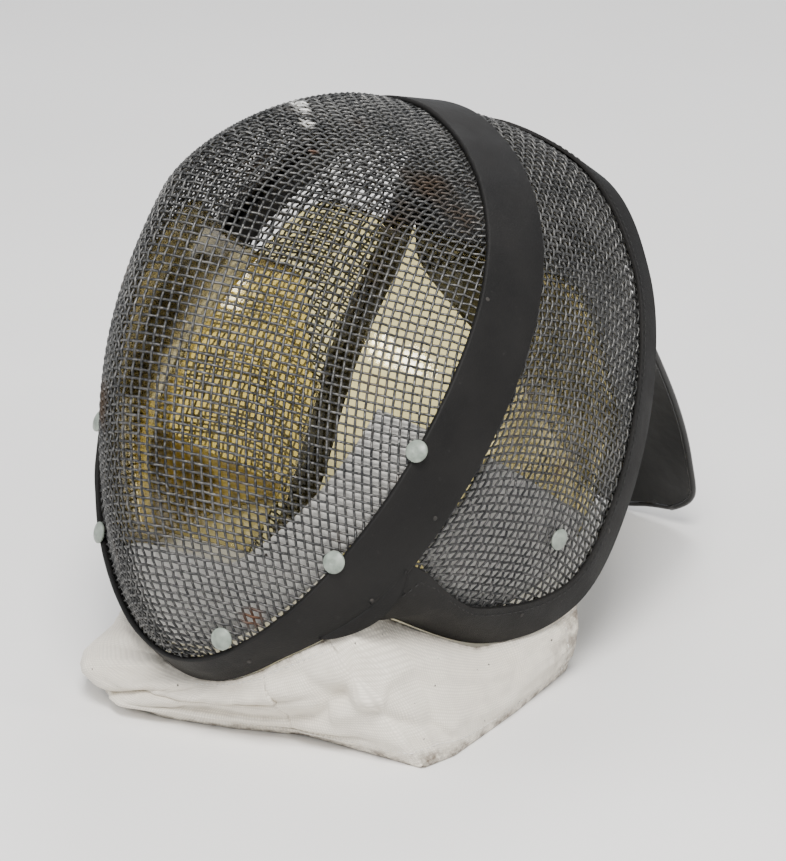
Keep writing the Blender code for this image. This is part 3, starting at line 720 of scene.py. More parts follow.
def edge_stud_seat(angle, inward, side):
    """A seat where the front mesh meets the band, clear of both."""
    reach = (sight_edge(angle) - Vector((0, 0, SIGHT_HEIGHT / 2))).length
    share = 1 - inward / reach
    centre = dome_spoke(angle, share)
    inner = dome_spoke(angle, share - 0.004 / reach)
    axis = (dome_normal(inner.x, inner.z) + Vector((0, -1, 0))).normalized()
    around = []
    for turn in range(-4, 5):
        near = angle + turn * STUD_RADIUS / 4 / reach
        front = band_axes(near)[0]
        normal = band_axes(near)[3]
        around += [front + normal * BAND_THICKNESS * along for along in (0.0, 0.35, 0.7)]
        around += [dome_spoke(near, share + step * STUD_RADIUS / 3 / reach) for step in range(-4, 5)]
    lift = 0.0
    for point in around:
        offset = point - centre
        height = offset.dot(axis)
        if (offset - axis * height).length < STUD_RADIUS + CLEARANCE:
            lift = max(lift, height)
    seat = centre + axis * lift
    return mirrored(seat, side), mirrored(axis, side)


# Meshes

def placed(point):
    """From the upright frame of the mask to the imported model's frame."""
    return posed(point) + SHIFT


def add_object(name, points, faces, material):
    """A smooth mesh object in the scene."""
    mesh = bpy.data.meshes.new(name)
    mesh.from_pydata([tuple(point) for point in points], [], faces)
    mesh.validate()
    mesh.update()
    made = bpy.data.objects.new(name, mesh)
    bpy.context.scene.collection.objects.link(made)
    mesh.materials.append(material)
    for polygon in mesh.polygons:
        polygon.use_smooth = True
    return made


def add_value(made, name, values):
    """A number for each point, which the material reads as an attribute."""
    layer = made.data.attributes.new(name, "FLOAT", "POINT")
    for index, value in enumerate(values):
        layer.data[index].value = value


def finish_piece(made, slot, *nodes):
    """Puts a piece on the mask's one body, in place of the named nodes; slot is not used."""
    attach(made, "root")
    if nodes:
        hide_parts(*nodes)


def run_lengths(points):
    """How far along a row of points each of them is."""
    lengths = [0.0]
    for a, b in zip(points, points[1:]):
        lengths.append(lengths[-1] + (b - a).length)
    return lengths


def grid_lengths(grid):
    """The longest row, the longest column and the area of a sheet."""
    rows = max(run_lengths(line)[-1] for line in grid)
    columns = max(run_lengths(line)[-1] for line in zip(*grid))
    area = 0.0
    for line, after in zip(grid, grid[1:]):
        for a, b, c, d in zip(line, line[1:], after[1:], after):
            area += (c - a).cross(d - b).length / 2
    return rows, columns, area


def grid_object(name, grid, material, thickness, values=None):
    """A sheet through a grid of placed points, with a map of it in metres and a wall."""
    rows, columns = len(grid), len(grid[0])
    points = [point for line in grid for point in line]
    faces = []
    for row in range(rows - 1):
        for column in range(columns - 1):
            corner = row * columns + column
            faces.append((corner, corner + 1, corner + columns + 1, corner + columns))
    made = add_object(name, points, faces, material)
    along = run_lengths(grid[rows // 2])
    down = run_lengths([line[columns // 2] for line in grid])
    layer = made.data.uv_layers.new(name="sheet")
    for loop in made.data.loops:
        row, column = divmod(loop.vertex_index, columns)
        layer.data[loop.index].uv = (along[column], down[row])
    for key, numbers in (values or {}).items():
        add_value(made, key, [number for line in numbers for number in line])
    wall = made.modifiers.new("wall", "SOLIDIFY")
    wall.thickness = thickness
    wall.offset = 0.0
    wall.use_even_offset = False
    return made


def ring_object(name, rings, material, closed):
    """A solid through a row of rings, with a map along it and round it."""
    size, count = len(rings[0]), len(rings)
    points = [point for ring in rings for point in ring]
    faces = []
    for ring in range(count if closed else count - 1):
        after = (ring + 1) % count
        for corner in range(size):
            turn = (corner + 1) % size
            faces.append(
                (ring * size + corner, ring * size + turn, after * size + turn, after * size + corner)
            )
    if not closed:
        faces.append(tuple(reversed(range(size))))
        faces.append(tuple(range((count - 1) * size, count * size)))
    return add_object(name, points, faces, material)


def round_edges(made, width, segments, degrees):
    """Rounds the edges of a piece that turn by more than that angle."""
    bevel = made.modifiers.new("rounded_edges", "BEVEL")
    bevel.width = width
    bevel.segments = segments
    bevel.limit_method = "ANGLE"
    bevel.angle_limit = math.radians(degrees)


def tube_mesh(lines, radius, sides):
    """Points and faces of tubes; each line is a list of (point, normal)."""
    points, faces = [], []
    turns = [2 * math.pi * side / sides for side in range(sides)]
    for line in lines:
        if len(line) < 2:
            continue
        first = len(points)
        for index, (point, normal) in enumerate(line):
            before = line[max(index - 1, 0)][0]
            after = line[min(index + 1, len(line) - 1)][0]
            run = (after - before).normalized()
            aside = run.cross(normal).normalized()
            lift = aside.cross(run)
            for turn in turns:
                points.append(point + (aside * math.cos(turn) + lift * math.sin(turn)) * radius)
        for index in range(len(line) - 1):
            ring = first + index * sides
            for side in range(sides):
                turn = (side + 1) % sides
                faces.append((ring + side, ring + turn, ring + sides + turn, ring + sides + side))
        faces.append(tuple(reversed(range(first, first + sides))))
        faces.append(tuple(range(len(points) - sides, len(points))))
    return points, faces


# Woven nets

def dome_surface(x, angle):
    """The front mesh for a place across and an angle, level beyond the sight edge."""
    angle = min(max(angle, 0.004), math.pi - 0.004)
    rim = sight_edge(angle).x
    point = dome_point(angle, min(abs(x) / rim, 1.0))
    point.x = x
    return point


def dome_outside(x, angle):
    """How far a place lies outside the sight edge."""
    if angle < DOME_CAP or angle > math.pi - DOME_CAP:
        return DOME_MARGIN
    return abs(x) - sight_edge(angle).x


def side_table():
    """Stations round the side mesh, worked out once because the net asks for them often."""
    stations = []
    for index in range(SIDE_STATIONS + 1):
        place = SIDE_REACH * index / SIDE_STATIONS
        angle = place * CHEEK_END_ANGLE
        normal = band_axes(angle)[3]
        start = side_point(place, 0.0)
        edge = side_point(place, BAND_ROW)
        end = side_point(place, 1.0)
        middle = side_point(place, (1 + BAND_ROW) / 2)
        swell = middle - (edge + end) / 2
        stations.append((start, edge, end, swell, normal))
    return stations


def side_surface(place, back):
    """The side mesh from a table of stations, carried on beyond its edges."""
    span = min(abs(place), SIDE_REACH * 0.9999) / SIDE_REACH * SIDE_STATIONS
    index = int(span)
    share = span - index
    first, second = SIDE_TABLE[index], SIDE_TABLE[index + 1]
    start, edge, end, swell = (a.lerp(b, share) for a, b in zip(first[:4], second[:4]))
    if back < BAND_ROW:
        point = start.lerp(edge, back / BAND_ROW)
    else:
        along = (back - BAND_ROW) / (1 - BAND_ROW)
        point = edge.lerp(end, along) + swell * math.sin(math.pi * along)
    return mirrored(point, sign_of(place))


def side_outside(place, back):
    """How far, in metres or so, a place lies outside the side mesh."""
    beyond = max(SIDE_FIRST_BACK - back, back - SIDE_LAST_BACK) * SIDE_DEPTH
    return max(beyond, (abs(place) - SIDE_LAST_PLACE) * SIGHT_HEIGHT)


def side_seed_line(place):
    """A wire's way over the crown and straight down the cheek."""
    if abs(place) < SIDE_STRAIGHT_FROM:
        return place, SIDE_SEED_BACK
    level = side_surface(SIDE_STRAIGHT_FROM, SIDE_SEED_BACK).y
    edge = side_surface(place, BAND_ROW).y
    end = side_surface(place, 1.0).y
    along = (level - edge) / max(end - edge, 0.004)
    return place, min(BAND_ROW + (1 - BAND_ROW) * along, SIDE_SEED_MOST)


def solve_node(surface, first, second, guess):
    """The place at one pitch from two places, by Newton's method."""
    a, b = surface(*first), surface(*second)
    u, v = guess
    for _ in range(NEWTON_STEPS):
        point = surface(u, v)
        miss_a = (point - a).length - WIRE_PITCH
        miss_b = (point - b).length - WIRE_PITCH
        if abs(miss_a) + abs(miss_b) < SOLVED:
            return u, v
        step_u, step_v = 1e-4, 1e-3
        along_u = surface(u + step_u, v)
        along_v = surface(u, v + step_v)
        a_u = ((along_u - a).length - WIRE_PITCH - miss_a) / step_u
        a_v = ((along_v - a).length - WIRE_PITCH - miss_a) / step_v
        b_u = ((along_u - b).length - WIRE_PITCH - miss_b) / step_u
        b_v = ((along_v - b).length - WIRE_PITCH - miss_b) / step_v
        area = a_u * b_v - a_v * b_u
        if abs(area) < 1e-9:
            return None
        u -= (miss_a * b_v - miss_b * a_v) / area
        v -= (a_u * miss_b - b_u * miss_a) / area
        if abs(u - guess[0]) > 1.0 or abs(v - guess[1]) > 1.0:
            return None
    point = surface(u, v)
    miss = abs((point - a).length - WIRE_PITCH) + abs((point - b).length - WIRE_PITCH)
    return (u, v) if miss < NEARLY_SOLVED else None


def walk(surface, outside, line, start, step, margin):
    """Places one pitch apart on a line of places, from its value at start."""
    found = []
    last = surface(*line(start))
    at = start
    while len(found) < NET_REACH:
        low, high = at, at + step
        for _ in range(WALK_STRIDES):
            if (surface(*line(high)) - last).length >= WIRE_PITCH:
                break
            low = high
            high += step
        for _ in range(WALK_HALVINGS):
            middle = (low + high) / 2
            if (surface(*line(middle)) - last).length < WIRE_PITCH:
                low = middle
            else:
                high = middle
        at = high
        if outside(*line(at)) > margin:
            break
        last = surface(*line(at))
        found.append(line(at))
    return found


def weave(surface, outside, lines, starts, steps, margin):
    """A net of square cells of equal wire, grown from two crossing lines."""
    nodes = {(0, 0): lines[0](starts[0])}
    for way in (1, -1):
        for line, start, step, axis in zip(lines, starts, steps, ((1, 0), (0, 1))):
            found = walk(surface, outside, line, start, way * step, margin)
            for count, place in enumerate(found, 1):
                nodes[(way * count * axis[0], way * count * axis[1])] = place
    for way_i in (1, -1):
        for way_j in (1, -1):
            for j in range(1, NET_REACH):
                for i in range(1, NET_REACH):
                    a = nodes.get((way_i * (i - 1), way_j * j))
                    b = nodes.get((way_i * i, way_j * (j - 1)))
                    c = nodes.get((way_i * (i - 1), way_j * (j - 1)))
                    if a is None or b is None or c is None:
                        continue
                    guess = (a[0] + b[0] - c[0], a[1] + b[1] - c[1])
                    if outside(*guess) > margin:
                        continue
                    found = solve_node(surface, a, b, guess)
                    if found is not None and outside(*found) <= margin:
                        nodes[(way_i * i, way_j * j)] = found
    return nodes


def wire_lines(surface, outside, nodes, direction):
    """The wires of one direction, cut where they go under the leather."""
    lines = []
    reach = max(abs(index) for key in nodes for index in key)

    def node_at(lane, index):
        return nodes.get((lane, index) if direction == 0 else (index, lane))

    for lane in range(-reach, reach + 1):
        run = []
        runs = []
        for index in range(-reach, reach + 2):
            node = node_at(lane, index)
            if node is not None and outside(*node) <= WIRE_TUCK:
                if not run:
                    other = node_at(lane, index - 1)
                    if other is not None:
                        run.append((cut_place(outside, node, other), 0.0))
                wave = 1.0 if (lane + index) % 2 == 0 else -1.0
                if run and run[-1][1] != 0.0:
                    (u, v), _ = run[-1]
                    run.append((((u + node[0]) / 2, (v + node[1]) / 2), 0.0))
                run.append((node, wave if direction == 0 else -wave))
            elif run:
                if node is not None:
                    run.append((cut_place(outside, run[-1][0], node), 0.0))
                runs.append(run)
                run = []
        if run:
            runs.append(run)
        for places in runs:
            if len(places) > 2:
                lines.append([lifted(surface, place, offset) for place, offset in places])
    return lines


def cut_place(outside, inner, outer):
    """Where the wire from inner to outer reaches its end under the leather."""
    low, high = 0.0, 1.0
    for _ in range(CUT_HALVINGS):
        share = (low + high) / 2
        if outside(*part_way(inner, outer, share)) <= WIRE_TUCK:
            low = share
        else:
            high = share
    return part_way(inner, outer, low)


def part_way(first, second, share):
    """A place that share of the way from the first to the second."""
    return first[0] + (second[0] - first[0]) * share, first[1] + (second[1] - first[1]) * share


def lifted(surface, place, offset):
    """A placed point on the wire, in front of or behind the middle of the weave."""
    u, v = place
    point = surface(u, v)
    run_u = surface(u + 2e-3, v) - surface(u - 2e-3, v)
    run_v = surface(u, v + 4e-3) - surface(u, v - 4e-3)
    normal = run_u.cross(run_v)
    if normal.length < 1e-12:
        normal = Vector((0, -1, 0))
    normal.normalize()
    return placed(point + normal * offset * WIRE_WAVE), POSE @ normal


def make_wires(name, surface, outside, lines, starts, steps, margin, material):
    """The wires of a net, as one mesh for each of their two directions."""
    nodes = weave(surface, outside, lines, starts, steps, margin)
    for direction, word in ((0, "warp"), (1, "weft")):
        wires = wire_lines(surface, outside, nodes, direction)
        points, faces = tube_mesh(wires, WIRE_RADIUS, WIRE_SIDES)
        made = add_object(f"{name}_{word}", points, faces, material)
        finish_piece(made, "mesh_steel", name)


# Materials

class Shading:
    """A material's node tree, with short calls for the nodes used here."""

    def __init__(self, name):
        self.material = bpy.data.materials.new(name)
        self.material.use_nodes = True
        self.tree = self.material.node_tree
        self.tree.nodes.clear()
        self.output = self.add("ShaderNodeOutputMaterial")
        self.shader = self.add("ShaderNodeBsdfPrincipled")
        self.link(self.shader.outputs["BSDF"], self.output.inputs["Surface"])
        self.place = self.add("ShaderNodeTexCoord")

    def add(self, kind, **values):
        """A new node, with inputs set by name; an underscore stands for a space."""
        node = self.tree.nodes.new(kind)
        for name, value in values.items():
            node.inputs[name.replace("_", " ")].default_value = value
        return node

    def put(self, name, value):
        self.shader.inputs[name].default_value = value

    def link(self, source, target):
        self.tree.links.new(source, target)

    def noise(self, scale, detail=4.0, rough=0.5):
        node = self.add("ShaderNodeTexNoise", Scale=scale, Detail=detail, Roughness=rough)
        self.link(self.place.outputs["Object"], node.inputs["Vector"])
        return node.outputs["Fac"]

    def cells(self, scale):
        node = self.add("ShaderNodeTexVoronoi")
        node.feature = "DISTANCE_TO_EDGE"
        node.inputs["Scale"].default_value = scale
        self.link(self.place.outputs["Object"], node.inputs["Vector"])
        return node.outputs["Distance"]

    def threads(self, way, pitch):
        """Threads of that pitch along the sheet's own map."""
        node = self.add("ShaderNodeTexWave", Scale=math.pi / 10 / pitch, Distortion=0.0)
        node.bands_direction = way
        self.link(self.place.outputs["UV"], node.inputs["Vector"])
        return node.outputs["Fac"]

    def value(self, name):
        node = self.add("ShaderNodeAttribute")
        node.attribute_name = name
        return node.outputs["Fac"]

    def spread(self, source, low, high, first=0.0, last=1.0):
        node = self.add("ShaderNodeMapRange", From_Min=low, From_Max=high, To_Min=first, To_Max=last)
        self.link(source, node.inputs["Value"])
        return node.outputs["Result"]

    def sum(self, kind, first, second):
        node = self.add("ShaderNodeMath")
        node.operation = kind
        for index, source in enumerate((first, second)):
            if isinstance(source, float):
                node.inputs[index].default_value = source
            else:
                self.link(source, node.inputs[index])
        return node.outputs["Value"]

    def mix(self, share, first, second):
        node = self.add("ShaderNodeMix")
        node.data_type = "RGBA"
        self.link(share, node.inputs["Factor"])
        for key, source in (("A", first), ("B", second)):
            socket = [item for item in node.inputs if item.name == key and item.type == "RGBA"][0]
            if isinstance(source, tuple):
                socket.default_value = (*source, 1.0)
            else:
                self.link(source, socket)
        return [item for item in node.outputs if item.type == "RGBA"][0]

    def colour(self, source):
        self.link(source, self.shader.inputs["Base Color"])

    def bump(self, height, distance, strength=1.0, before=None):
        node = self.add("ShaderNodeBump", Distance=distance, Strength=strength)
        self.link(height, node.inputs["Height"])
        if before is not None:
            self.link(before.outputs["Normal"], node.inputs["Normal"])
        self.link(node.outputs["Normal"], self.shader.inputs["Normal"])
        return node


def wire_material():
    """Worn grey wire with brown patches and a few bare bright spots."""
    shade = Shading("worn_wire")
    shade.put("Metallic", 0.75)
    patches = shade.spread(shade.noise(38.0), 0.35, 0.70)
    grey = shade.mix(patches, (0.022, 0.023, 0.024), (0.075, 0.075, 0.074))
    fine = shade.spread(shade.noise(700.0, 3.0), 0.46, 0.72)
    worn = shade.mix(fine, grey, (0.17, 0.167, 0.160))
    stains = shade.spread(shade.noise(24.0, 6.0), 0.60, 0.74)
    brown = shade.mix(stains, worn, (0.062, 0.044, 0.031))
    rust = shade.mix(shade.value("rust"), brown, (0.075, 0.036, 0.020))
    shade.colour(shade.mix(shade.value("bright"), rust, (0.72, 0.71, 0.68)))
    rough = shade.spread(shade.noise(300.0, 4.0), 0.3, 0.7, 0.36, 0.60)
    shade.link(rough, shade.shader.inputs["Roughness"])
    shade.bump(shade.noise(1500.0, 2.0), 0.0001, 0.5)
    return shade.material


def leather_material(name, dark, light, rough, gloss, grain, depth):
    """Black leather: fine grain, rubbed paler in patches."""
    shade = Shading(name)
    patches = shade.spread(shade.noise(30.0, 6.0, 0.6), 0.38, 0.72)
    base = shade.mix(patches, dark, light)
    scuffs = shade.spread(shade.noise(210.0, 5.0, 0.7), 0.63, 0.78)
    dusty = tuple(value * 2.0 + 0.004 for value in light)
    shade.colour(shade.mix(scuffs, base, dusty))
    shine = shade.spread(shade.noise(60.0, 5.0), 0.3, 0.7, rough - 0.07, rough + 0.09)
    shade.link(shine, shade.shader.inputs["Roughness"])
    shade.put("Specular IOR Level", gloss)
    skin = shade.bump(shade.spread(shade.cells(grain), 0.0, 0.12), 0.00012, depth)
    shade.bump(shade.noise(130.0, 4.0), 0.0006, 0.5, skin)
    return shade.material


def cloth_material(name, clean, grey, thread, soil):
    """Off-white woven cloth, dirty where the sheet's own value says."""
    shade = Shading(name)
    across = shade.threads("X", thread)
    along = shade.threads("Y", thread)
    weave_height = shade.sum("MULTIPLY", across, along)
    tone = shade.mix(shade.spread(shade.noise(18.0, 5.0), 0.35, 0.70), clean, grey)
    woven = shade.mix(shade.spread(weave_height, 0.0, 0.5, 0.34, 0.0), tone, (0.30, 0.27, 0.22))
    spots = shade.spread(shade.noise(150.0, 6.0, 0.7), 0.38, 0.62)
    dirt = shade.sum("MULTIPLY", shade.value("dirt"), spots)
    soiled = shade.mix(dirt, woven, soil)
    specks = shade.spread(shade.noise(260.0, 1.0), 0.775, 0.80)
    shade.colour(shade.mix(specks, soiled, (0.05, 0.04, 0.03)))
    shade.put("Roughness", 0.85)
    shade.put("Sheen Weight", 0.12)
    first = shade.bump(weave_height, 0.00022, 0.8)
    shade.bump(shade.noise(55.0, 4.0), 0.0010, 0.5, first)
    return shade.material


def shield_material():
    """Clear amber plastic: tinted light passes, and the surface is glossy."""
    shade = Shading("amber_sheet")
    shade.tree.nodes.remove(shade.shader)
    clear = shade.add("ShaderNodeBsdfTransparent", Color=(0.875, 0.815, 0.560, 1.0))
    gloss = shade.add("ShaderNodeBsdfGlossy", Roughness=0.09, Color=(1.0, 0.97, 0.90, 1.0))
    turn = shade.add("ShaderNodeLayerWeight", Blend=0.28)
    share = shade.spread(turn.outputs["Fresnel"], 0.0, 1.0, 0.02, 0.85)
    mixed = shade.add("ShaderNodeMixShader")
    shade.link(share, mixed.inputs["Fac"])
    shade.link(clear.outputs["BSDF"], mixed.inputs[1])
    shade.link(gloss.outputs["BSDF"], mixed.inputs[2])
    shade.link(mixed.outputs["Shader"], shade.output.inputs["Surface"])
    ripple = shade.add("ShaderNodeBump", Distance=0.0012, Strength=0.6)
    shade.link(shade.noise(34.0, 2.0), ripple.inputs["Height"])
    shade.link(ripple.outputs["Normal"], gloss.inputs["Normal"])
    return shade.material


def plastic_material():
    """Frosted, nearly clear plastic, slightly green."""
    shade = Shading("frosted_plastic")
    cloud = shade.spread(shade.noise(260.0, 3.0), 0.3, 0.7)
    shade.colour(shade.mix(cloud, (0.17, 0.20, 0.17), (0.31, 0.35, 0.30)))
    shade.put("Roughness", 0.38)
    shade.put("Transmission Weight", 0.15)
    shade.bump(shade.noise(900.0, 2.0), 0.0001, 0.4)
    return shade.material


def thread_material(name, dark, light):
    """Matte thread, also used for the dark pins."""
    shade = Shading(name)
    shade.colour(shade.mix(shade.spread(shade.noise(900.0, 3.0), 0.35, 0.65), dark, light))
    shade.put("Roughness", 0.8)
    shade.bump(shade.noise(3000.0, 2.0), 0.0001, 0.6)
    return shade.material


# Leather pieces

def waver(point, scale, seed):
    """Smooth unevenness from -1 to 1 that stays the same every run."""
    return noise.noise(Vector(point) * scale + Vector((seed, seed * 1.7, seed * 0.3)))


def rounded_section(width, height, radius, steps=4):
    """A flat strip's outline as (across, up), its outer corners rounded."""
    outline = [(0.0, 0.0), (0.0, height - radius)]
    for step in range(1, steps + 1):
        turn = math.pi / 2 * step / steps
        outline.append((radius - radius * math.cos(turn), height - radius + radius * math.sin(turn)))
    for share in (0.2, 0.4, 0.6, 0.8):
        outline.append((radius + (width - 2 * radius) * share, height))
    for step in range(steps + 1):
        turn = math.pi / 2 * (1 - step / steps)
        across = width - radius + radius * math.cos(turn)
        outline.append((across, height - radius + radius * math.sin(turn)))
    outline.append((width, 0.0))
    return outline


def make_band(material):
    """The band round the face, slightly uneven, with a worn crease down each side."""
    rings = []
    for index in range(BAND_STATIONS):
        angle = math.pi * (2 * index / BAND_STATIONS - 1) + 1e-4
        side = sign_of(angle)
        front, rear, across, normal = band_axes(abs(angle))
        width = (rear - front).length
        ring = []
        mark = mirrored(front, side)
        dip = BAND_UNEVEN * waver(mark, 55.0, 3.0)
        worn = smooth_step(abs(angle), 1.2, 1.6) * (0.6 + 0.4 * waver(mark, 18.0, 7.0))
        for place, height in rounded_section(width, BAND_THICKNESS, BAND_THICKNESS * BAND_ROUNDING):
            ridge = math.exp(-(((place / width - CREASE_SHARE) / CREASE_WIDTH) ** 2))
            lift = (dip + CREASE_HEIGHT * worn * ridge) * height / BAND_THICKNESS
            point = front + across * place + normal * (height + lift)
            ring.append(placed(mirrored(point, side)))
        rings.append(ring)
    made = ring_object("leather_band", rings, material, closed=True)
    finish_piece(made, "band_leather", "front_band")


def make_pins(material):
    """The small dark pins that hold the band and the trim to the mesh."""
    points, faces = [], []
    seats = []
    for angle, share in BAND_PINS:
        front, rear, _, normal = band_axes(angle)
        seats.append((front.lerp(rear, share) + normal * BAND_THICKNESS, normal))
    for place in TRIM_PINS:
        ring = trim_ring(place)
        seats.append((ring[1].lerp(ring[2], 0.7), (ring[1] - ring[0]).normalized()))
    for seat, normal in seats:
        for side, _ in SIDES:
            add_pin(points, faces, seat, normal, side)
    made = add_object("edge_pins", points, faces, material)
    finish_piece(made, "stud_plastic")


def add_pin(points, faces, seat, normal, side):
    """One low round head, added to the points and faces."""
    sides = PIN_SIDES
    first = normal.cross(Vector((0.3, 0.5, 0.81))).normalized()
    second = normal.cross(first)
    start = len(points)
    for radius, height in PIN_PROFILE:
        for corner in range(sides):
            turn = 2 * math.pi * corner / sides
            spoke = (first * math.cos(turn) + second * math.sin(turn)) * radius
            point = seat + (spoke + normal * height) * PIN_RADIUS
            points.append(placed(mirrored(point, side)))
    for ring in range(2):
        for corner in range(sides):
            turn = (corner + 1) % sides
            low, high = start + ring * sides, start + (ring + 1) * sides
            faces.append((low + corner, low + turn, high + turn, high + corner))
    faces.append(tuple(range(start + 2 * sides, start + 3 * sides)))


def make_corner_tabs(material):
    """The band's leather carried on to the front end of the trim."""
    for side, word in SIDES:
        grid = []
        for index in range(TAB_STEPS + 1):
            angle = TAB_FROM + (TAB_TO - TAB_FROM) * index / TAB_STEPS
            rear, across, normal = band_axes(angle)[1:]
            width = TAB_WIDTH * math.sin(math.pi * index / TAB_STEPS) ** 0.7
            line = []
            for step in range(TAB_ROWS + 1):
                share = step / TAB_ROWS
                height = BAND_THICKNESS * (TAB_BASE + TAB_RISE * share)
                point = rear + across * (width * share - TAB_LAP) + normal * height
                line.append(placed(mirrored(point, side)))
            grid.append(line)
        made = grid_object(f"corner_tab_{word}", grid, material, TRIM_THICKNESS * 0.6)
        finish_piece(made, "band_leather")


def make_lining_strip(material):
    """The black strip inside the band, open at the chin."""
    depth = 3 * CLEARANCE + MESH_THICKNESS
    rings = []
    for index in range(INNER_STRIP_STATIONS + 1):
        place = INNER_STRIP_REACH * (2 * index / INNER_STRIP_STATIONS - 1)
        angle = place * CHEEK_END_ANGLE
        side = sign_of(angle)
        front, rear, across, normal = band_axes(abs(angle))
        start = front + across * (BAND_PROUD + INNER_STRIP_START)
        width = (rear - start).length
        ring = []
        for along, height in rounded_section(width, INNER_STRIP_THICKNESS, INNER_STRIP_ROUNDING, 2):
            point = start + across * along - normal * (depth + height)
            ring.append(placed(mirrored(point, side)))
        rings.append(ring)
    made = ring_object("lining_strip", rings, material, closed=False)
    finish_piece(made, "band_leather", "inner_strip")


def make_trim(material, thread):
    """The trim folded over the rear edge, soft at its folds, with one row of stitches."""
    rings = []
    seam = []
    for index in range(TRIM_STATIONS + 1):
        place = TRIM_REACH * (2 * index / TRIM_STATIONS - 1)
        side = sign_of(place)
        placed_ring = [placed(mirrored(point, side)) for point in trim_ring(abs(place))]
        rings.append(placed_ring)
        spot = placed_ring[1].lerp(placed_ring[2], TRIM_SEAM)
        way = (placed_ring[1] - placed_ring[0]).normalized()
        seam.append((spot, way))
    made = ring_object("rear_edge_trim", rings, material, closed=False)
    round_edges(made, TRIM_THICKNESS * TRIM_ROUNDING, 3, 50)
    finish_piece(made, "band_leather", "rear_trim")
    make_stitches("trim_stitches", [seam], thread, "band_leather", TRIM_STITCH)


def make_stitches(name, seams, material, slot, pitch):
    """Rows of short threads lying on a seam; each seam is a list of (point, normal)."""
    lines = []
    for seam in seams:
        along = 0.0
        wanted = pitch / 2
        for (a, way_a), (b, way_b) in zip(seam, seam[1:]):
            length = (b - a).length
            while length > 0 and wanted <= along + length:
                share = (wanted - along) / length
                middle = a.lerp(b, share)
                way = way_a.lerp(way_b, share).normalized()
                run = (b - a).normalized() * pitch * 0.33
                low, high = way * STITCH_RADIUS, way * STITCH_RISE
                thread = (middle - run - low, middle - run * 0.6 + high)
                thread += (middle + run * 0.6 + high, middle + run - low)
                lines.append([(point, way) for point in thread])
                wanted += pitch
            along += length
    points, faces = tube_mesh(lines, STITCH_RADIUS, WIRE_SIDES)
    made = add_object(name, points, faces, material)
    finish_piece(made, slot)


def make_tongue_piece(material):
    """The leather tongue from the arch of the crown, with a rolled edge round it."""
    crown = posed(rear_edge(0.0))
    side = posed((1, 0, 0))
    lowest = floor_height() + TONGUE_THICKNESS * 0.55
    gap = TRIM_THICKNESS * TONGUE_SEAT
    shares = [2 * column / (TONGUE_COLUMNS - 1) - 1 for column in range(TONGUE_COLUMNS)]
    root = []
    for share in shares:
        near, forward, outward = trim_frame(share * TONGUE_ROOT_SHARE)
        root.append(posed(near - forward * gap - outward * CLEARANCE))
    keys = list(TONGUE_ROWS[0])
    lines = []
    last_row = len(TONGUE_ROWS) - 1
    for index in range(TONGUE_STEPS + 1):
        place = index / TONGUE_STEPS
        row = {}
        for key in keys:
            row[key] = between([Vector((line[key], 0, 0)) for line in TONGUE_ROWS], place).x
        tip = max(place * last_row - (last_row - TONGUE_TIP_ROWS), 0.0) / TONGUE_TIP_ROWS
        offset = Vector((row["aside"], row["back"], -row["down"])) * TONGUE_LENGTH
        half = row["half_width"] * TONGUE_HALF_WIDTH * math.sqrt(1 - TONGUE_TIP_NARROWING * tip**4)
        line = []
        for share in shares:
            point = crown + offset + side * (half * share)
            point.y -= row["cup"] * half * share * share
            point.y += TONGUE_UNEVEN * waver((share * 1.3, place * 3.0, 0.0), 1.0, 5.0)
            point.z = max(point.z, lowest)
            line.append(point)
        lines.append(line)
    arch = []
    for index in range(TONGUE_ARCH_STEPS):
        height = index / TONGUE_ARCH_STEPS
        back = Vector((0, TONGUE_ARCH_BACK * math.sin(math.pi * height), 0))
        arch.append([start.lerp(end, height) + back for start, end in zip(root, lines[0])])
    grid = [[point + SHIFT for point in line] for line in arch + lines]
    start, end = TONGUE_EASED
    for _ in range(TONGUE_EASING):
        eased = [[(b + a + c) / 3 for a, b, c in zip(*trio)] for trio in zip(grid, grid[1:], grid[2:])]
        grid[start:end] = eased[start - 1 : end - 1]
    made = grid_object("tongue_leaf", grid, material, TONGUE_THICKNESS * 0.8)
    round_edges(made, 0.0007, 2, 60)
    finish_piece(made, "tongue_leather", "tongue")
    outline = [(line[0], line[1]) for line in grid[PIPING_FROM:]]
    outline += [(point, above) for point, above in zip(grid[-1], grid[-2])][1:-1]
    outline += [(line[-1], line[-2]) for line in reversed(grid[PIPING_FROM:])]
    piping = []
    for index, (point, inner) in enumerate(outline):
        before = outline[max(index - 1, 0)][0]
        after = outline[min(index + 1, len(outline) - 1)][0]
        inward = (inner - point).normalized()
        way = (after - before).cross(inward).normalized()
        if way.y < 0:
            way.negate()
        piping.append((point + inward * PIPING_INSET, way))
    points, faces = tube_mesh([piping], TONGUE_THICKNESS * PIPING_SHARE, 10)
    rolled = add_object("tongue_piping", points, faces, material)
    finish_piece(rolled, "tongue_leather")


# Cloth pieces

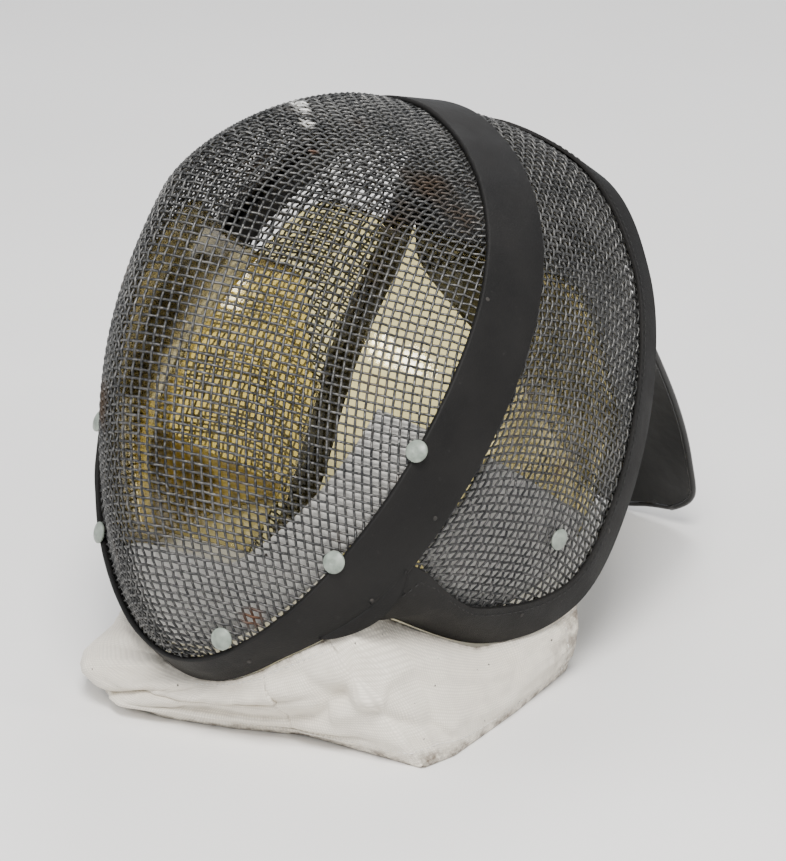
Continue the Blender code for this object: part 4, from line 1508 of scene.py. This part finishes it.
def make_bib_piece(material, thread):
    """Canvas from the cheeks and the chin to the table, creased, with its hem turned in."""
    floor = floor_height() + BIB_THICKNESS / 2
    chin = posed(sight_edge(math.pi))
    first, last = BIB_ROWS[0]["at"], BIB_ROWS[-1]["at"]
    grid, dirt = [], []
    hem_line, top_line = [], []
    for index in range(BIB_STATIONS):
        at = first + (last - first) * index / (BIB_STATIONS - 1)
        row = bib_row(at)
        top = posed(hang_point(at))
        foot = Vector((row["foot_x"] * BIB_REACH, chin.y + row["foot_y"] * BIB_SPAN, floor))
        step = 0.01
        ahead, behind = bib_row(min(at + step, last)), bib_row(max(at - step, first))
        run_x = (ahead["foot_x"] - behind["foot_x"]) * BIB_REACH
        run_y = (ahead["foot_y"] - behind["foot_y"]) * BIB_SPAN
        outward = Vector((-run_y, run_x, 0)).normalized()
        line, marks = [], []
        end = min(at - first, last - at) / BIB_END
        for number in range(BIB_HANG_STEPS + 1):
            height = number / BIB_HANG_STEPS
            point = top.lerp(foot, height)
            arch = max(math.sin(math.pi * height), 0.0)
            fuller = smooth_step(at, *BIB_LOBE)
            puff = max(math.sin(math.pi * height ** (1 - LOBE_RISE * fuller)), 0.0)
            swell = row["belly"] * puff * (1 - LOBE_DRAW * fuller)
            calm = smooth_step(height, 0.0, BIB_CALM)
            swell += crease_depth(BIB_FOLDS, at, height, 2) * math.sqrt(arch) * calm
            uneven = BIB_WAVER * waver((at * 9.0, height * 3.0, 0.0), 1.0, 11.0)
            uneven += BIB_FINE_WAVER * waver((at * 24.0, height * 7.0, 0.0), 1.0, 17.0)
            small = crease_depth(BIB_CREASES, at, height, 4, uneven) * min(arch * 2.0, 1.0) * calm
            corner = math.exp(-(((abs(at) - CORNER_AT) / CORNER_SPREAD) ** 2))
            tuck = CORNER_TUCK * corner * (1 - smooth_step(height, 0.02, 0.30))
            point = point + outward * (swell * BIB_REACH + small - tuck)
            point.z += LOBE_LIFT * fuller * puff
            point.z = max(point.z, floor)
            line.append(point + SHIFT)
            foot_dirt = smooth_step(height, BIB_DIRTY_FOOT, 1.0)
            near_edge = max(1 - min(end, 1.0), foot_dirt, 1 - height / BIB_DIRTY_TOP)
            marks.append(BIB_DIRT * max(near_edge, 0.0) + BIB_DIRT_LEAST)
        for number in range(1, BIB_HEM_STEPS + 1):
            line.append(foot - outward * BIB_HEM_WIDTH * number / BIB_HEM_STEPS + SHIFT)
            marks.append(BIB_HEM_DIRT)
        grid.append(line)
        dirt.append(marks)
        hem_line.append((line[BIB_HANG_STEPS - 5] + outward * BIB_THICKNESS * 0.5, outward))
        top_line.append((line[3] + outward * BIB_THICKNESS * 0.5, outward))
    made = grid_object("canvas_bib", grid, material, BIB_THICKNESS, {"dirt": dirt})
    finish_piece(made, "bib_canvas", "bib")
    column = grid[1][4 : BIB_HANG_STEPS + 1]
    camera_side = Vector((CAMERA_BACK[0], CAMERA_BACK[1], 0))
    end_line = []
    for number, point in enumerate(column):
        inward = (grid[4][4 + number] - point).normalized()
        down = (column[min(number + 1, len(column) - 1)] - column[max(number - 1, 0)]).normalized()
        way = inward.cross(down)
        if way.dot(camera_side) < 0:
            way.negate()
        end_line.append((point + inward * BIB_SEAM_INSET + way * BIB_THICKNESS * 0.5, way))
    make_stitches("bib_stitches", [hem_line, top_line, end_line], thread, "bib_canvas", BIB_STITCH)


def make_chin_cloth(material):
    """White cloth inside the front mesh, under the chin and in a strip beside the band."""
    inset = MESH_THICKNESS + CLOTH_THICKNESS / 2 + CLEARANCE * 4
    grid = []
    middle = SIGHT_HEIGHT / 2
    for index in range(CHIN_STATIONS + 1):
        turn = 2 * index / CHIN_STATIONS - 1
        angle = math.pi - abs(turn) * (math.pi - CHIN_LINING_SIDE_ANGLE)
        side = sign_of(-turn)
        edge = sight_edge(angle)
        chin_cut = (CHIN_LINING_HEIGHT - middle) / (edge.z - middle) if edge.z < middle else 1.0
        inner = min(STRIP_INNER, chin_cut) if chin_cut > 0 else STRIP_INNER
        line = []
        for row in range(CHIN_ROWS + 1):
            radius = inner + (STRIP_OUTER - inner) * row / CHIN_ROWS
            line.append(placed(dome_spoke(side * angle, radius, inset)))
        grid.append(line)
    made = grid_object("chin_cloth", grid, material, CLOTH_THICKNESS)
    finish_piece(made, "lining_cloth", "chin_lining")


def make_cheek_cloth(material, side, word):
    """White cloth inside the side mesh on one cheek, kept clear of the trim's inner leg."""
    inset = (MESH_THICKNESS + CLOTH_THICKNESS) / 2 + CLEARANCE * 2 + INNER_STRIP_THICKNESS
    grid = []
    first = CHEEK_LINING_BACK[0]
    for row in range(CHEEK_STEPS + 1):
        line = []
        for column in range(CHEEK_STEPS + 1):
            along = row / CHEEK_STEPS
            place = CHEEK_LINING_TOP + (CHEEK_LINING_END - CHEEK_LINING_TOP) * along
            width = (side_point(place, 1.0) - side_point(place, BAND_ROW)).length
            last = min(CHEEK_LINING_BACK[1], 1 - (1 - BAND_ROW) * (TRIM_INNER_WIDTH + 0.006) / width)
            back = first + (last - first) * column / CHEEK_STEPS
            place -= CHEEK_LINING_SLANT * (back - BAND_ROW) * (1 - along)
            line.append(placed(side_point(side * place, back, inset)))
        grid.append(line)
    made = grid_object(f"cheek_cloth_{word}", grid, material, CLOTH_THICKNESS)
    finish_piece(made, "lining_cloth", f"cheek_lining_{word}")
    width, length, area = grid_lengths(grid)


def make_shield_piece(material):
    """The clear amber sheet bent round inside the face."""
    grid = []
    for index in range(SHIELD_STATIONS + 1):
        share = SHIELD_REACH * (2 * index / SHIELD_STATIONS - 1)
        top, bottom = shield_top(share), shield_bottom(share)
        heights = [bottom + (top - bottom) * row / SHIELD_ROWS for row in range(SHIELD_ROWS + 1)]
        grid.append([placed(shield_point(share, height)) for height in heights])
    made = grid_object("amber_shield", grid, material, SHIELD_THICKNESS)
    finish_piece(made, "shield_sheet", "face_shield")


def make_stud_piece(name, node, place, axis, material):
    """A domed head with a rolled rim and a small pip."""
    reference = Vector((0, 0, 1)) if abs(axis.z) < 0.9 else Vector((1, 0, 0))
    first = axis.cross(reference).normalized()
    second = axis.cross(first)
    rings = []
    for radius, height in STUD_PROFILE:
        ring = []
        for corner in range(STUD_SIDES):
            turn = 2 * math.pi * corner / STUD_SIDES
            spoke = (first * math.cos(turn) + second * math.sin(turn)) * STUD_RADIUS * radius
            ring.append(placed(place + spoke + axis * (CLEARANCE + STUD_HEIGHT * height)))
        rings.append(ring)
    made = ring_object(name, rings, material, closed=False)
    finish_piece(made, "stud_plastic", node)


def make_stud_pieces(material):
    """Two studs on each side of the sight edge, one on each cheek and one at the chin."""
    for side, suffix in SIDES:
        for stud in EDGE_STUDS:
            seat, axis = edge_stud_seat(stud["angle"], stud["inward"], side)
            node = f"{stud['name']}_{suffix}"
            make_stud_piece(f"{node}_head", node, seat, axis, material)
        place, back = CHEEK_STUD["along"] * side, CHEEK_STUD["back"]
        seat = side_point(place, back, -MESH_THICKNESS / 2)
        axis = (side_point(place, back, -0.01) - side_point(place, back)).normalized()
        node = f"{CHEEK_STUD['name']}_{suffix}"
        make_stud_piece(f"{node}_head", node, seat, axis, material)
    seat, axis = edge_stud_seat(CHIN_STUD["angle"], CHIN_STUD["inward"], 1.0)
    make_stud_piece("stud_chin_head", CHIN_STUD["name"], seat, axis, material)


# Stage

def make_stage():
    """A plain pale floor, soft light from all round and the area lights."""
    half = 3.0
    floor = add_object(
        "floor",
        [(-half, -half, 0), (half, -half, 0), (half, half, 0), (-half, half, 0)],
        [(0, 1, 2, 3)],
        floor_material(),
    )
    floor.location.z = -0.0002
    world = bpy.data.worlds.new("studio")
    world.use_nodes = True
    light = world.node_tree.nodes["Background"]
    light.inputs["Color"].default_value = (0.93, 0.95, 1.0, 1.0)
    light.inputs["Strength"].default_value = 0.66
    bpy.context.scene.world = world
    for row in LIGHTS:
        add_light(*row)


def floor_material():
    shade = Shading("pale_floor")
    tone = shade.spread(shade.noise(3.0, 3.0), 0.3, 0.7)
    shade.colour(shade.mix(tone, (0.80, 0.79, 0.775), (0.84, 0.83, 0.815)))
    shade.put("Roughness", 0.75)
    return shade.material


def add_light(name, place, size, power, colour):
    """A square area light that faces the mask."""
    data = bpy.data.lights.new(name, "AREA")
    data.energy = power
    data.size = size
    data.color = colour
    lamp = bpy.data.objects.new(name, data)
    lamp.location = place
    aim = LIGHT_AIM - Vector(place)
    lamp.rotation_euler = aim.to_track_quat("-Z", "Y").to_euler()
    bpy.context.scene.collection.objects.link(lamp)


def make_camera():
    """The camera from which the photograph was taken, as fitted."""
    data = bpy.data.cameras.new("camera")
    data.sensor_fit = "HORIZONTAL"
    data.sensor_width = CAMERA_SENSOR
    data.lens = CAMERA_LENS
    camera = bpy.data.objects.new("camera", data)
    turned = Matrix((CAMERA_RIGHT, CAMERA_UP, CAMERA_BACK)).transposed().to_4x4()
    camera.matrix_world = Matrix.Translation(CAMERA_PLACE) @ turned
    bpy.context.scene.collection.objects.link(camera)
    bpy.context.scene.camera = camera


def mark_wires():
    """Rust and bright bare spots on the wires near chosen places."""
    for made in [item for item in bpy.data.objects if item.name.startswith("front_mesh_w")]:
        bright, rust = [], []
        for vertex in made.data.vertices:
            bright.append(spot_share(vertex.co, BRIGHT_SPOTS))
            rust.append(spot_share(vertex.co, RUST_SPOTS))
        add_value(made, "bright", bright)
        add_value(made, "rust", rust)


def spot_share(point, spots):
    """How much of the nearest spot a point has, from 0 to 1."""
    share = 0.0
    for x, z, radius in spots:
        near = placed(dome_surface(x, angle_at_height(z)))
        share = max(share, math.exp(-((point - near).length / radius) ** 4))
    return share


def main():
    make_camera()
    make_stage()
    wire = wire_material()
    leather = leather_material(
        "matte_leather", (0.0045, 0.0042, 0.0040), (0.0100, 0.0093, 0.0087), 0.60, 0.20, 900.0, 0.5
    )
    gloss = leather_material(
        "glossy_leather", (0.0020, 0.0020, 0.0020), (0.0050, 0.0047, 0.0044), 0.21, 0.45, 700.0, 0.15
    )
    canvas = cloth_material("canvas", (0.88, 0.83, 0.725), (0.79, 0.73, 0.62), 0.0012, (0.13, 0.10, 0.072))
    lining = cloth_material("lining", (0.82, 0.81, 0.78), (0.74, 0.73, 0.70), 0.0008, (0.35, 0.33, 0.30))
    black_thread = thread_material("black_thread", (0.004, 0.004, 0.004), (0.012, 0.012, 0.011))
    white_thread = thread_material("white_thread", (0.52, 0.49, 0.44), (0.74, 0.72, 0.67))
    make_wires(
        "front_mesh", dome_surface, dome_outside,
        (lambda x: (x, DOME_SEED_ANGLE), lambda angle: (0.0, angle)),
        (0.0, DOME_SEED_ANGLE), (0.002, 0.01), DOME_MARGIN, wire,
    )
    make_wires(
        "side_mesh", side_surface, side_outside,
        (side_seed_line, lambda back: (0.0, back)),
        (0.0, SIDE_SEED_BACK), (0.004, 0.02), SIDE_MARGIN, wire,
    )
    mark_wires()
    make_band(leather)
    make_pins(thread_material("dark_pins", (0.004, 0.004, 0.004), (0.030, 0.026, 0.022)))
    make_corner_tabs(leather)
    make_lining_strip(leather)
    make_trim(leather, black_thread)
    make_tongue_piece(gloss)
    make_bib_piece(canvas, white_thread)
    make_chin_cloth(lining)
    for side, word in SIDES:
        make_cheek_cloth(lining, side, word)
    make_shield_piece(shield_material())
    make_stud_pieces(plastic_material())


SIDE_TABLE = side_table()
main()
